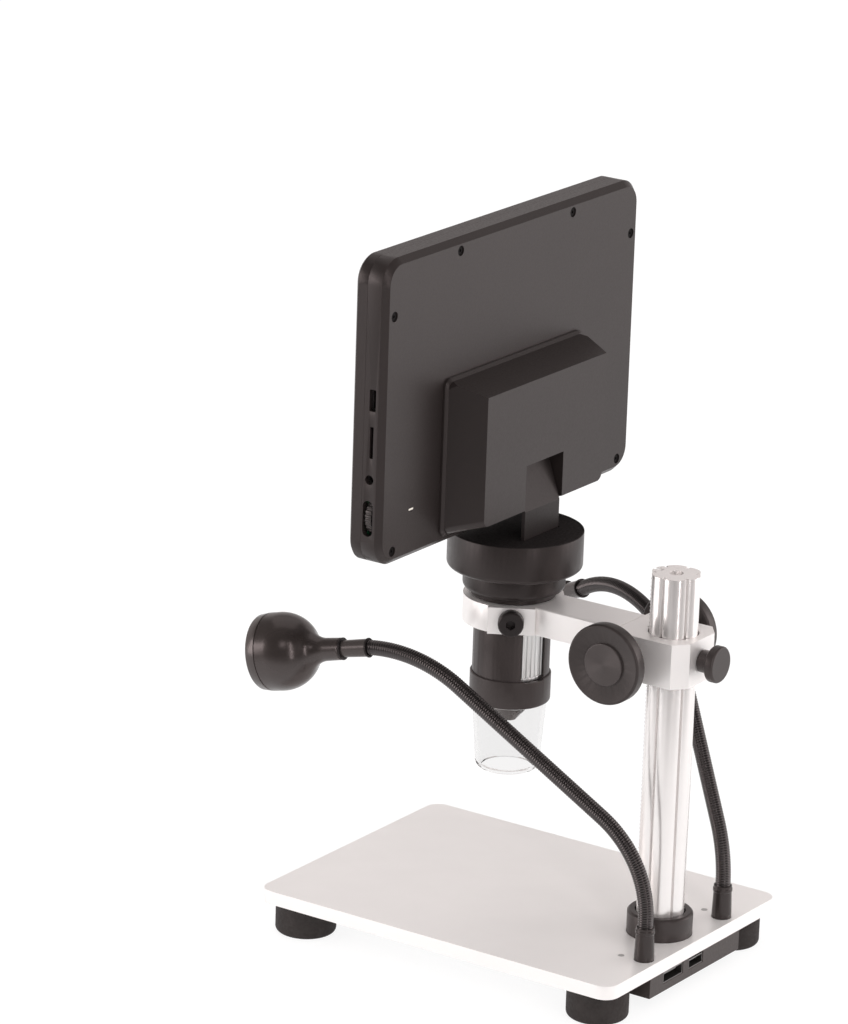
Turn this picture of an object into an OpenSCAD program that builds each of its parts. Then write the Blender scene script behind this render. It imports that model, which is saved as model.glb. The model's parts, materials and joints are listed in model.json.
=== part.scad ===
// Desktop microscope with a screen: stage plate, grooved column with a rack, focusing arm, camera
// tube with a clear end cap, swivelling and tilting screen, and two lamps on goosenecks.
// X points right as seen from the front of the screen, Y points from the optical axis to the
// column, Z points up. The origin is where the optical axis meets the stage's top face.

/* [Stage] */
// Width of the stage plate
plate_w = 120; // [112:1:160]
// Depth of the stage plate, front to back
plate_d = 160; // [130:1:200]
// Thickness of the stage plate
plate_t = 5.4; // [4.4:0.2:8]
// Corner radius of the stage plate
plate_corner = 6; // [2:0.5:12]
// Distance from the optical axis back to the plate's rear edge
rear_edge = 87.7; // [87:0.1:100]
// Diameter of a rubber foot
foot_d = 23.5; // [18:0.5:30]
// Height of a rubber foot
foot_h = 12.6; // [10:0.2:20]
// Distance from the plate's edges to a foot's centre
foot_inset = 13.4; // [12:0.2:20]

/* [Lamp supply] */
// Width of the supply case under the rear edge
supply_w = 63.4; // [60:0.2:80]
// Depth of the supply case, front to back
supply_d = 30; // [26:1:50]
// Height of the supply case
supply_h = 7.9; // [7:0.1:10]
// Wall of the supply case
supply_wall = 1.5; // [1:0.1:2]

/* [Column] */
// Distance from the optical axis to the column's axis
reach = 71.3; // [66:0.1:80]
// Diameter of the column
column_d = 19.1; // [17:0.1:23]
// Height of the column above the stage
column_h = 142.2; // [136:0.2:180]
// Diameter of the flange ring at the column's foot
flange_d = 25; // [23:0.5:30]
// Height of the flange ring
flange_h = 9; // [4:0.5:14]

/* [Arm] */
// Height of the arm's top face above the stage
arm_top = 119.3; // [112:0.1:126]
// Width of the arm
arm_w = 20; // [16:0.5:26]
// Thickness of the arm
arm_t = 10.8; // [9:0.2:14]
// Height of the clamp ring
ring_h = 10.4; // [9:0.2:14]
// Wall of the clamp ring
ring_wall = 4.4; // [3:0.2:7]
// Width of the flat boss that carries the clamp screw
boss_w = 17.8; // [13:0.2:20]
// Direction of the clamp screw, counted from +X towards +Y
clamp_angle = 31.5; // [0:0.5:50]
// Side wall of the block that rides on the column
block_side = 4.7; // [3:0.1:8]
// Rear wall of the block that rides on the column
block_rear = 3.1; // [2.5:0.1:6]
// Height of the block that rides on the column
block_h = 17.3; // [15:0.1:24]

/* [Focus drive] */
// Module of the rack and pinion
gear_module = 0.5; // [0.45:0.01:0.56]
// Number of pinion teeth
gear_teeth = 12; // [11:1:13]
// Width of the rack
rack_w = 2; // [1.5:0.5:6]
// Diameter of the pinion's shaft
shaft_d = 4; // [3:0.2:4.4]
// Diameter of a focus knob
knob_d = 30.8; // [24:0.1:38]
// Width across the two focus knobs
knob_span = 56; // [46:0.5:66]
// Thickness of a focus knob's rim
knob_rim = 5.3; // [4:0.1:7]

/* [Camera tube] */
// Diameter of the camera tube
tube_d = 29.4; // [27:0.1:36]
// Height of the tube's lower end above the stage
tube_low = 77.3; // [72:0.1:84]
// Height of the thicker band at the tube's lower end
band_h = 11.2; // [10.2:0.2:14]
// Wall of the tube
tube_wall = 1; // [0.8:0.1:1.6]
// Width of a window that shows the focus wheel
window_w = 10.7; // [8:0.1:14]
// Length of the clear end cap below the tube
cap_h = 27.65; // [22:0.05:34]
// Diameter of the clear cap's open end
cap_mouth_d = 19.8; // [14:0.2:20]
// Wall of the clear cap
cap_wall = 1.3; // [1:0.1:2]
// Travel of the lens carriage each way
lens_travel = 3; // [1:0.5:4]

/* [Swivel] */
// Diameter of the tube's head disc
head_disc_d = 39; // [37:0.5:46]
// Height of the tube's head disc
head_disc_h = 8.5; // [8:0.1:12]
// Diameter of the swivel disc under the screen
swivel_d = 51.6; // [46:0.2:60]
// Height of the swivel disc
swivel_h = 14.8; // [12:0.2:20]
// Width of the hinge bracket
bracket_w = 23.4; // [18:0.2:30]
// Thickness of the hinge bracket's sheet
bracket_t = 1.5; // [1:0.1:2]

/* [Screen] */
// Width of the screen's case
screen_w = 169; // [169:1:210]
// Height of the screen's case
screen_h = 115.8; // [114:0.2:130]
// Thickness of the screen's case
screen_t = 13.6; // [13.2:0.2:20]
// Thickness of the front bezel
bezel_t = 5.3; // [5:0.1:6]
// Corner radius of the screen's case
screen_corner = 9.5; // [6:0.5:12]
// Chamfer on the case's rear edge
rear_chamfer = 2.2; // [1:0.1:3]
// Wall of the screen's case
case_wall = 2; // [1.5:0.1:2.5]
// Distance from the optical axis forward to the screen's front face
screen_front = 17.8; // [15:0.1:20]
// Gap between the swivel disc and the screen's case
screen_gap = 3.3; // [3:0.1:8]
// Width of the picture area
picture_w = 154; // [128:0.5:154]
// Height of the picture area
picture_h = 86; // [70:0.5:87]
// Width of the hinge housing where it meets the case
hump_w = 92.4; // [80:0.2:100]
// Height of the hinge housing where it meets the case
hump_h = 60.8; // [58:0.2:70]
// Depth of the hinge housing behind the case
hump_t = 16; // [15:0.2:22]
// Height of the straight wall round the hinge housing's foot
hump_foot = 1.9; // [1.2:0.1:4]
// Width of the bevelled lip round the hinge housing's foot
hump_lip = 1.1; // [0.6:0.1:1.8]
// Radius of the hinge housing's corners
hump_corner = 3.4; // [2.6:0.1:6]
// Width of one front key
key_w = 12; // [8:0.5:14]
// Height of one front key
key_h = 5; // [4:0.5:6]
// Spacing of the front keys
key_pitch = 20; // [16:0.5:24]
// Travel of a front key
key_travel = 0.6; // [0.3:0.1:0.8]

/* [Lamps] */
// Diameter of a gooseneck hose
hose_d = 5.9; // [5:0.1:6.4]
// Distance between the two gooseneck sockets
socket_gap = 55; // [50:0.5:58]
// Height of a gooseneck socket
socket_h = 13; // [10:0.5:18]
// Distance from the plate's rear edge to the sockets' centres
socket_inset = 5.8; // [5:0.1:8]
// Largest diameter of a lamp's shell
bulb_d = 30; // [26:0.5:34]
// Diameter of a lamp's open end
bulb_mouth_d = 28.2; // [24:0.2:28.4]
// Length of a lamp from the end of its hose to its open end
lamp_l = 47.3; // [45:0.1:54]
// Right lamp: direction of the hose, counted from +X towards +Y
right_turn = -83.2; // [-100:0.1:-60]
// Right lamp: height where the hose leaves the vertical
right_rise = 15.9; // [14:0.1:24]
// Right lamp: radius and angle of the first bend, then of the second bend
right_bends = [43.5, 57.3, 55.7, 39.7]; // [25:0.1:100]
// Right lamp: length of the straight run between the bends
right_run = 73; // [60:0.5:90]
// Right lamp: how far the lamp points below the horizontal
right_dip = 12.8; // [0:0.1:30]
// Left lamp: direction of the hose, counted from +X towards +Y
left_turn = -113.7; // [-130:0.1:-90]
// Left lamp: height where the hose leaves the vertical
left_rise = 13.9; // [13.5:0.1:24]
// Left lamp: radius and angle of the first bend, then of the second bend
left_bends = [49.4, 27.9, 53.2, 92.6]; // [25:0.1:100]
// Left lamp: length of the straight run between the bends
left_run = 48.6; // [40:0.5:70]
// Left lamp: how far the lamp points below the horizontal
left_dip = 23; // [0:0.1:40]

/* [Fits] */
// Radial clearance of a shaft in its bore and of a sliding fit
run_gap = 0.05; // [0.02:0.01:0.09]
// Gap between neighbouring faces that don't bear on each other
free_gap = 0.3; // [0.2:0.05:0.4]

/* [Hidden] */
$fn = 72;

// Colours
satin = [0.85, 0.85, 0.86];
steel = [0.62, 0.62, 0.64];
black = [0.10, 0.10, 0.11];
dark = [0.16, 0.15, 0.15];
rubber = [0.07, 0.07, 0.07];
circuit = [0.05, 0.30, 0.16];
clear = [0.85, 0.92, 0.95, 0.4];
brass = [0.75, 0.62, 0.30];
white = [0.92, 0.92, 0.90];

// Stage and what stands on it
plate_y = rear_edge - plate_d / 2;
// Depth of the recesses that locate the flange and the sockets on the plate
recess = 0.5;
foot_x = plate_w / 2 - foot_inset;
foot_rear_y = rear_edge - foot_inset;
foot_front_y = rear_edge - plate_d + foot_inset;
foot_hole_d = 3.5;
foot_screw_d = 3.2;
foot_screw_head_d = 7;
foot_screw_head_h = 2.4;
foot_well_d = 10;
foot_well_h = foot_h - 7;
foot_screw_bite = 3;
socket_x = socket_gap / 2;
socket_y = rear_edge - socket_inset;
socket_bore = hose_d / 2 + 0.08;
socket_foot_r = socket_bore + 0.75;
socket_top_r = socket_bore + 0.45;
hose_seat_z = 4;
lead_hole_d = 3;

// Supply case under the rear edge
supply_z1 = -plate_t;
supply_z0 = supply_z1 - supply_h;
supply_y0 = rear_edge - supply_d;
supply_screw_x = supply_w / 2 - 2.3;
supply_screw_y = rear_edge - 14.6;
supply_screw_d = 1.4;
supply_screw_head_r = 1.2;
supply_board_z = supply_z0 + supply_wall + 0.5;
supply_board_t = 1.2;
wide_port_x = 15.45;
wide_port_w = 12.8;
wide_port_h = 3.6;
slim_port_x = -0.6;
slim_port_w = 9;
slim_port_h = 3;
port_shell = 0.4;
port_depth = 9;

// Column, its grooves and its rack
column_r = column_d / 2;
lobe_r = 0.586 * column_r;
lobe_offset = column_r - lobe_r;
groove_w = 1;
groove_floor_r = column_r - 2.1;
column_bore_d = 5.2;
bolt_d = 5.1;
bolt_head_d = 8.5;
bolt_head_h = 3;
bolt_reach = 14;
tooth_pitch = PI * gear_module;
pinion_r = gear_module * gear_teeth / 2;
addendum = 0.72 * gear_module;
dedendum = 1.15 * gear_module;
tooth_half = 0.62 * gear_module;
pressure_angle = 20;
rack_proud = 0.35;
rack_pitch_y = reach - column_r - rack_proud;
rack_back_y = reach - column_bore_d / 2 - 3.1;
rack_z0 = flange_h + 3;
rack_z1 = column_h - 2;
pinion_y = rack_pitch_y - pinion_r;
pinion_z = arm_top - 8.6;
pinion_tip_r = pinion_r + addendum;
pinion_bore_r = pinion_tip_r + 0.4;
pinion_w = rack_w + 2;

// Arm
tube_r = tube_d / 2;
ring_r = tube_r + ring_wall;
ring_z0 = arm_top - ring_h;
block_half = column_r + block_side;
block_front_y = pinion_y - pinion_bore_r - 2;
block_rear_y = reach + column_r + block_rear;
block_z0 = arm_top - block_h;
block_chamfer_x = 5.8;
block_chamfer_y = 4.5;
boss_r = ring_r + 0.2;
clamp_z = arm_top - ring_h / 2;
clamp_head_d = 9.8;
clamp_head_l = 4.4;
clamp_thread_r = 1.9;
lock_z = arm_top - 8.5;
lock_stem_d = 8.6;
lock_stem_l = 4.6;
lock_head_d = 14;
lock_head_l = 3.7;
lock_thread_r = 1.9;
shaft_r = shaft_d / 2;
knob_r = knob_d / 2;
knob_hub_r = 7;
knob_disc_r = 8.25;
knob_face = knob_span / 2;
shaft_end = knob_face - 2;

// Camera tube, from its lower end up
band_r = tube_r + 0.75;
band_z1 = tube_low + band_h;
cap_neck_r = band_r - 1.5;
cap_neck_h = 6.7;
ledge_z0 = tube_low + 8.5;
ledge_z1 = ledge_z0 + 1.7;
ledge_r = tube_r - 3;
tube_bore_r = tube_r - tube_wall;
tube_top = arm_top + 4.7;
wheel_z0 = ledge_z1 + 0.3;
wheel_z1 = ring_z0 - 1.3;
wheel_r = tube_bore_r - free_gap;
wheel_bore_r = wheel_r - 2.4;
rib_count = 44;
window_z0 = band_z1 - 0.7;
window_z1 = ring_z0 - 1;
window_angle = 70.4;
guide_r = wheel_bore_r - free_gap;
guide_bore_r = guide_r - 1;
guide_flange_r = tube_bore_r - run_gap;
guide_z0 = ledge_z1 + 0.1;
carriage_r = guide_bore_r - run_gap;
carriage_z0 = wheel_z0 + 4.5;
carriage_z1 = wheel_z0 + 13.5;
pin_z = (carriage_z0 + carriage_z1) / 2;
cam_pin_r = 1;
lens_r = 6.4;
lens_t = 3;
led_board_z = ledge_z0 - 1.2;
cone_r = 9.2;
cone_z1 = led_board_z - 0.1;
cone_step_z = tube_low - 0.3;
cone_tip_z = tube_low - 8.3;
led_ring_r = 10.8;
cap_z0 = tube_low - cap_h;
cap_top_r = tube_r - 0.5;
cap_low_r = cap_top_r - 1.8;
cap_low_z = cap_z0 + 4.4;
cap_lip_r = 3;

// Head disc and swivel
collar_r = tube_r + 1.5;
collar_z0 = arm_top + 0.2;
collar_z1 = collar_z0 + 2;
head_disc_r = head_disc_d / 2;
head_z1 = collar_z1 + head_disc_h;
head_top_wall = 2.1;
head_cavity_r = head_disc_r - 3.5;
sensor_board_z = tube_top + 0.3;
sensor_board_r = min(guide_flange_r, head_cavity_r) - 0.2;
post_r = 5.9;
post_bore_r = 4;
post_z0 = head_z1 - head_top_wall - 2.1;
retainer_r = 9;
swivel_r = swivel_d / 2;
swivel_z0 = head_z1 + 0.2;
swivel_z1 = swivel_z0 + swivel_h;
swivel_floor = 2.5;
swivel_wall = 2.5;
swivel_cap_t = 2;
// The cap's seat leaves only a thin lip of the disc round it
cap_seat_r = swivel_r - 0.9;

// Screen
case_y0 = -screen_front;
case_seam_y = case_y0 + bezel_t;
case_y1 = case_y0 + screen_t;
case_z0 = swivel_z1 + screen_gap;
case_z1 = case_z0 + screen_h;
case_zc = (case_z0 + case_z1) / 2;
case_half = screen_w / 2;
picture_z = case_z1 - 9 - picture_h / 2;
bezel_face = 1.6;
// The inside keeps the wall's thickness along the rear chamfer
inner_chamfer = max(rear_chamfer - case_wall * (2 - sqrt(2)), 0.2);
panel_w = picture_w + 8;
panel_h = picture_h + 10.5;
panel_y0 = case_y0 + bezel_face + 0.1;
panel_y1 = case_seam_y - 0.7;
lip_t = 1.2;
lip_y0 = case_seam_y - 1.5;
lip_y1 = case_seam_y + 0.9;
board_t = 1;
board_y0 = case_seam_y + 0.1;
board_y1 = board_y0 + board_t;
board_edge_x = case_half - case_wall - 1.5;
hump_z0 = case_z0 + 3.2;
hump_z1 = hump_z0 + hump_h;
hump_slope_x = 5.1;
hump_slope_z = 4.3;
hump_y1 = case_y1 + hump_t;
hump_knee_y = case_y1 + hump_foot;
slot_half = bracket_w / 2 + 0.8;
slot_top_z = case_z0 + 26.1;
pocket_top_z = slot_top_z + 7.1;
hinge_y = hump_y1 - 8.3;
hinge_z = slot_top_z + 1.6;
hinge_pin_r = 1.6;
eye_r = 3.2;
bracket_y1 = hump_y1 - 0.4;
bracket_bend_z = swivel_z1 + 10.8;
bracket_foot_y = -10;
cell_r = 9.15;
cell_l = 65;
cell_z = pocket_top_z + 2 + free_gap + cell_r;
case_screw_head_r = 1.8;
case_screw_r = 0.95;
// Each case screw: place across, place up, and the way to the wall that carries its lug
case_screws = [for (s = [-1, 1], p = [
    [case_half - 5.5, case_z1 - 21.1, 1, 0],
    [case_half - 47, case_z1 - 4.8, 0, 1],
    [case_half - 8.5, case_z0 + 5.2, 0, -1]
]) [s * p[0], p[1], s * p[2], p[3]]];
lug = 3.5;
lug_y1 = case_y1 - 2.4;
// Sockets in the case's right side: height of each centre above the case's bottom
port_y = case_y1 - 4.7;
power_z = case_z0 + 63.6;
power_w = 8.2;
power_t = 2.8;
card_z = case_z0 + 47.7;
card_w = 12;
card_t = 1.5;
jack_z = case_z0 + 33.5;
jack_d = 3.6;
jack_y = case_y1 - 5.2;
dimmer_z = case_z0 + 18.7;
dimmer_y = case_y1 - 5.5;
dimmer_r = 8;
dimmer_t = 2.6;
dimmer_x = case_half - 0.2 - dimmer_r;
dimmer_slot_w = 13.6;
dimmer_slot_t = 4.4;
key_z = case_z0 + 9;
key_hole_gap = 0.25;

// Lamps: side, direction, rise, bends, run and dip of each hose
right_neck = [socket_x, right_turn, right_rise, right_bends, right_run, right_dip];
left_neck = [-socket_x, left_turn, left_rise, left_bends, left_run, left_dip];
hose_r = hose_d / 2;
ball_r = hose_r - 0.05;
cup_r = hose_r + 0.15;
// Share of the straight run that belongs to the lower hose
hose_split = 0.5;
bend_lap = 0.3;
sleeve_start = 0.9;
sleeve_end = 12.1;
sleeve_r = hose_r + 0.5;
neck_r = 4.4;
bulb_r = bulb_d / 2;
bulb_centre = lamp_l - 8.2;
bulb_fillet = 9;
lamp_wall = 1.7;
led_seat = bulb_centre - 7;
lens_seat = lamp_l - 2.8;

// ---- Shapes shared by several pieces ----

function arc(cx, cy, r, a0, a1, n = 8) =
    [for (i = [0 : n]) let (a = a0 + (a1 - a0) * i / n) [cx + r * cos(a), cy + r * sin(a)]];

module rounded_rect(w, h, r) {
    square([w - 2 * r, h], center = true);
    square([w, h - 2 * r], center = true);
    for (x = [-1, 1], y = [-1, 1])
        translate([x * (w / 2 - r), y * (h / 2 - r)]) circle(r);
}

// Half section of a disc whose lower outer edge is rounded
module disc_profile(r, z0, z1, round_r) {
    translate([0, z0]) square([r - round_r, z1 - z0]);
    translate([0, z0 + round_r]) square([r, z1 - z0 - round_r]);
    translate([r - round_r, z0 + round_r]) circle(round_r);
}

module drum(r, z0, z1) {
    translate([0, 0, z0]) cylinder(r = r, h = z1 - z0);
}

// Extrudes a section drawn as (Y, Z), centred on X = 0
module along_x(w) {
    rotate([90, 0, 90]) translate([0, 0, -w / 2]) linear_extrude(w) children();
}

// Puts the Z axis of its children on +Y, through (x, z)
module facing_rear(x, y, z) {
    translate([x, y, z]) rotate([-90, 0, 0]) children();
}

// Puts the Z axis of its children on +X or, with side = -1, on -X
module facing_side(side, y, z) {
    translate([0, y, z]) rotate([0, side * 90, 0]) children();
}

// Rounded upright slab between two Y values
module slab(w, h, r, y0, y1, zc, xc = 0) {
    translate([xc, y1, zc]) rotate([90, 0, 0]) linear_extrude(y1 - y0) rounded_rect(w, h, r);
}

// Upright slab with round corners and a chamfer round its rear edge
module chamfered_slab(w, h, r, c, y0, y1, zc) {
    translate([0, 0, zc]) {
        along_x(w - 2 * r)
            polygon([[y0, -h / 2], [y1 - c, -h / 2], [y1, c - h / 2], [y1, h / 2 - c],
                     [y1 - c, h / 2], [y0, h / 2]]);
        translate([0, 0, r - h / 2]) linear_extrude(h - 2 * r)
            polygon([[-w / 2, y0], [w / 2, y0], [w / 2, y1 - c], [w / 2 - c, y1],
                     [c - w / 2, y1], [-w / 2, y1 - c]]);
        for (x = [-1, 1], z = [-1, 1])
            facing_rear(x * (w / 2 - r), 0, z * (h / 2 - r))
                rotate_extrude()
                    polygon([[0, y0], [r, y0], [r, y1 - c], [r - c, y1], [0, y1]]);
    }
}

// Screw that points down: its head stands on z = 0 and its shank hangs below
module screw(head_r, head_h, shank_r, shank_l, socket_r = 0) {
    difference() {
        union() {
            cylinder(r = head_r, h = head_h);
            translate([0, 0, -shank_l]) cylinder(r = shank_r, h = shank_l + head_h / 2);
        }
        if (socket_r > 0)
            translate([0, 0, head_h * 0.45]) cylinder(r = socket_r, h = head_h, $fn = 6);
    }
}

module at_feet() {
    for (x = [-foot_x, foot_x], y = [foot_front_y, foot_rear_y]) translate([x, y, 0]) children();
}

module at_supply_screws() {
    for (x = [-supply_screw_x, supply_screw_x]) translate([x, supply_screw_y, 0]) children();
}

module at_column() {
    translate([0, reach, 0]) children();
}

module at_sockets() {
    for (x = [-socket_x, socket_x]) translate([x, socket_y, 0]) children();
}

// ---- Stage ----

module base_plate() {
    color(satin) difference() {
        translate([0, plate_y, -plate_t]) linear_extrude(plate_t)
            rounded_rect(plate_w, plate_d, plate_corner);
        at_feet() translate([0, 0, -plate_t - 1])
            cylinder(d = foot_screw_d + 2 * run_gap, h = foot_screw_bite + 1.4);
        at_supply_screws() {
            drum(supply_screw_d / 2 + 0.1, -plate_t - 1, 1);
            translate([0, 0, -0.7])
                cylinder(r1 = supply_screw_d / 2 + 0.1, r2 = supply_screw_head_r + 0.2, h = 0.71);
        }
        at_column() {
            drum(bolt_d / 2 + 0.2, -plate_t - 1, 1);
            drum(bolt_head_d / 2 + 0.3, -plate_t - 1, -plate_t + bolt_head_h + 0.2);
            drum(flange_d / 2 + run_gap, -recess, 1);
        }
        at_sockets() {
            drum(lead_hole_d / 2, -plate_t - 1, 1);
            drum(socket_foot_r + run_gap, -recess, 1);
        }
    }
}

module rubber_feet() {
    color(rubber) at_feet() difference() {
        rotate_extrude() disc_profile(foot_d / 2, -plate_t - foot_h, -plate_t, 2);
        drum(foot_hole_d / 2, -plate_t - foot_h - 1, -plate_t + 1);
        drum(foot_well_d / 2, -plate_t - foot_h - 1, -plate_t - foot_h + foot_well_h);
    }
}

module foot_screws() {
    color(steel) at_feet() translate([0, 0, -plate_t - foot_h + foot_well_h])
        mirror([0, 0, 1])
            screw(foot_screw_head_d / 2, foot_screw_head_h, foot_screw_d / 2,
                  foot_h - foot_well_h + foot_screw_bite, 1.6);
}

// ---- Lamp supply ----

module supply_case() {
    inner_w = supply_w - 2 * supply_wall;
    color(dark) difference() {
        union() {
            difference() {
                translate([-supply_w / 2, supply_y0, supply_z0])
                    cube([supply_w, supply_d, supply_h]);
                translate([-inner_w / 2, supply_y0 + supply_wall, supply_z0 + supply_wall])
                    cube([inner_w, supply_d - 2 * supply_wall, supply_h]);
            }
            at_supply_screws() drum(2.2, supply_z0, supply_z1);
        }
        at_supply_screws() drum(supply_screw_d / 2 + run_gap, supply_z0 + 1.5, supply_z1 + 1);
        for (p = [[wide_port_x, wide_port_w], [slim_port_x, slim_port_w]])
            translate([p[0] - p[1] / 2 - port_shell - 0.1, rear_edge - supply_wall - 1,
                       supply_board_z + supply_board_t])
                cube([p[1] + 2 * port_shell + 0.2, supply_wall + 2, supply_h]);
    }
}

module supply_board() {
    w = supply_w - 2 * supply_wall - 6;
    color(circuit) difference() {
        translate([-w / 2, supply_y0 + supply_wall + free_gap, supply_board_z])
            cube([w, supply_d - 2 * supply_wall - 2 * free_gap, supply_board_t]);
        at_sockets() drum(lead_hole_d / 2, supply_board_z - 1, 0);
    }
}

// Open metal shell with a contact tongue, its mouth at the supply case's rear face
module port_socket(x, w, h) {
    z0 = supply_board_z + supply_board_t;
    y0 = rear_edge - 0.3 - port_depth;
    difference() {
        translate([x - w / 2 - port_shell, y0, z0])
            cube([w + 2 * port_shell, port_depth, h + 2 * port_shell]);
        translate([x - w / 2, y0 + 1, z0 + port_shell]) cube([w, port_depth, h]);
    }
    translate([x - w * 0.36, y0 + 0.5, z0 + port_shell + h * 0.55])
        cube([w * 0.72, port_depth - 2, h * 0.25]);
}

module supply_sockets() {
    color(steel) {
        port_socket(wide_port_x, wide_port_w, wide_port_h);
        port_socket(slim_port_x, slim_port_w, slim_port_h);
    }
}

module supply_screws() {
    color(steel) at_supply_screws() {
        translate([0, 0, -0.6])
            cylinder(r1 = supply_screw_d / 2, r2 = supply_screw_head_r, h = 0.55);
        drum(supply_screw_d / 2, -plate_t - 3.5, -0.6);
    }
}

// ---- Column ----

module column_section() {
    difference() {
        union() {
            circle(lobe_offset + 2);
            for (a = [30 : 60 : 330]) rotate(a) translate([lobe_offset, 0]) circle(lobe_r);
        }
        for (a = [0 : 60 : 300]) rotate(a)
            translate([groove_floor_r, -groove_w / 2]) square([column_r, groove_w]);
        circle(d = column_bore_d);
        translate([-rack_w / 2 - run_gap, -column_r - 1])
            square([rack_w + 2 * run_gap, rack_back_y - reach + column_r + 1 + run_gap]);
    }
}

module column() {
    color(satin) at_column() translate([0, 0, -recess])
        linear_extrude(column_h + recess) column_section();
}

module column_bolt() {
    color(steel) at_column() translate([0, 0, -plate_t + bolt_head_h]) mirror([0, 0, 1])
        screw(bolt_head_d / 2, bolt_head_h - 0.2, bolt_d / 2,
              plate_t - bolt_head_h + bolt_reach, 2.2);
}

module column_flange() {
    color(black) at_column() difference() {
        rotate_extrude()
            polygon([[0, -recess], [flange_d / 2, -recess], [flange_d / 2, flange_h - 0.8],
                     [flange_d / 2 - 0.8, flange_h], [0, flange_h]]);
        drum(column_r + run_gap, -1, flange_h + 1);
    }
}

module gear_rack() {
    root_y = rack_pitch_y + dedendum;
    tip_y = rack_pitch_y - addendum;
    root_half = tooth_half + dedendum * tan(pressure_angle);
    tip_half = tooth_half - addendum * tan(pressure_angle);
    first = ceil((rack_z0 + root_half - pinion_z) / tooth_pitch - 0.5);
    last = floor((rack_z1 - root_half - pinion_z) / tooth_pitch - 0.5);
    teeth = [for (k = [first : last]) let (z = pinion_z + (k + 0.5) * tooth_pitch)
        each [[root_y, z - root_half], [tip_y, z - tip_half],
              [tip_y, z + tip_half], [root_y, z + root_half]]];
    color(steel) along_x(rack_w)
        polygon(concat([[rack_back_y, rack_z0], [root_y, rack_z0]], teeth,
                       [[root_y, rack_z1], [rack_back_y, rack_z1]]));
}

module gooseneck_sockets() {
    color(black) at_sockets() rotate_extrude()
        polygon([[socket_bore, -recess], [socket_foot_r, -recess], [socket_foot_r, 2],
                 [socket_top_r, socket_h - 2.6], [socket_top_r + 0.25, socket_h - 2.3],
                 [socket_top_r + 0.25, socket_h - 1.2], [socket_top_r, socket_h - 0.9],
                 [socket_top_r, socket_h], [socket_bore, socket_h]]);
}

// ---- Arm ----

module clamp_ring_section() {
    difference() {
        union() {
            circle(ring_r);
            rotate(clamp_angle) translate([0, -boss_w / 2]) square([boss_r, boss_w]);
        }
        circle(tube_r + run_gap);
    }
}

module arm_bracket() {
    edge = 0.4;
    // The arm starts inside the ring's wall
    start_y = (tube_r + sqrt(ring_r * ring_r - arm_w * arm_w / 4)) / 2;
    color(satin) difference() {
        union() {
            translate([0, 0, ring_z0]) linear_extrude(ring_h) clamp_ring_section();
            translate([0, block_front_y + 1, 0]) rotate([90, 0, 0])
                linear_extrude(block_front_y + 1 - start_y)
                    polygon([[-arm_w / 2, arm_top - arm_t], [arm_w / 2, arm_top - arm_t],
                             [arm_w / 2, arm_top - edge], [arm_w / 2 - edge, arm_top],
                             [edge - arm_w / 2, arm_top], [-arm_w / 2, arm_top - edge]]);
            translate([0, 0, block_z0]) linear_extrude(block_h)
                polygon([[-block_half, block_front_y], [block_half, block_front_y],
                         [block_half, block_rear_y - block_chamfer_y],
                         [block_half - block_chamfer_x, block_rear_y],
                         [block_chamfer_x - block_half, block_rear_y],
                         [-block_half, block_rear_y - block_chamfer_y]]);
        }
        // Bore for the column and the channel that clears the rack
        at_column() drum(column_r + run_gap, block_z0 - 1, arm_top + 1);
        translate([-rack_w / 2 - 0.4, rack_pitch_y - addendum - 0.4, block_z0 - 1])
            cube([rack_w + 0.8, column_r, block_h + 2]);
        // Bore for the pinion and its bushes
        facing_side(1, pinion_y, pinion_z)
            translate([0, 0, -block_half - 1]) cylinder(r = pinion_bore_r, h = 2 * block_half + 2);
        // Threads of the clamp screw and the lock screw
        rotate(clamp_angle) translate([tube_r - 1, 0, clamp_z]) rotate([0, 90, 0])
            cylinder(r = clamp_thread_r + run_gap, h = ring_wall + 3);
        facing_rear(0, reach + column_r - 1, lock_z)
            cylinder(r = lock_thread_r + run_gap, h = block_rear + 2);
        // Joint line across the top, between the arm and the block
        translate([-block_half - 1, block_front_y - 0.15, arm_top - 0.3])
            cube([2 * block_half + 2, 0.3, 1]);
    }
}

module shaft_bushes() {
    l = block_half - pinion_w / 2 - 0.3;
    color(brass) for (s = [-1, 1]) facing_side(s, pinion_y, pinion_z)
        translate([0, 0, pinion_w / 2 + 0.3]) difference() {
            cylinder(r = pinion_bore_r - run_gap, h = l);
            translate([0, 0, -1]) cylinder(r = shaft_r + run_gap, h = l + 2);
        }
}

function involute(r, base_r) =
    let (a = acos(min(1, base_r / r))) tan(a) * 180 / PI - a;

// One pinion tooth as points from its lower flank over its tip to its upper flank
function tooth(turn) =
    let (base_r = pinion_r * cos(pressure_angle),
         root_r = pinion_r - dedendum,
         half = tooth_half / pinion_r * 180 / PI + involute(pinion_r, base_r),
         flank = [for (i = [0 : 3]) base_r + (pinion_tip_r - base_r) * i / 3],
         low = concat([[root_r, -half]], [for (r = flank) [r, involute(r, base_r) - half]]),
         high = [for (i = [len(low) - 1 : -1 : 0]) [low[i][0], -low[i][1]]])
    [for (p = concat(low, high)) [p[0] * cos(turn + p[1]), p[0] * sin(turn + p[1])]];

module pinion_shaft() {
    color(steel) translate([0, pinion_y, pinion_z]) {
        along_x(pinion_w) polygon([for (i = [0 : gear_teeth - 1]) each tooth(360 * i / gear_teeth)]);
        facing_side(1, 0, 0) translate([0, 0, -shaft_end]) cylinder(r = shaft_r, h = 2 * shaft_end);
    }
}

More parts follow.
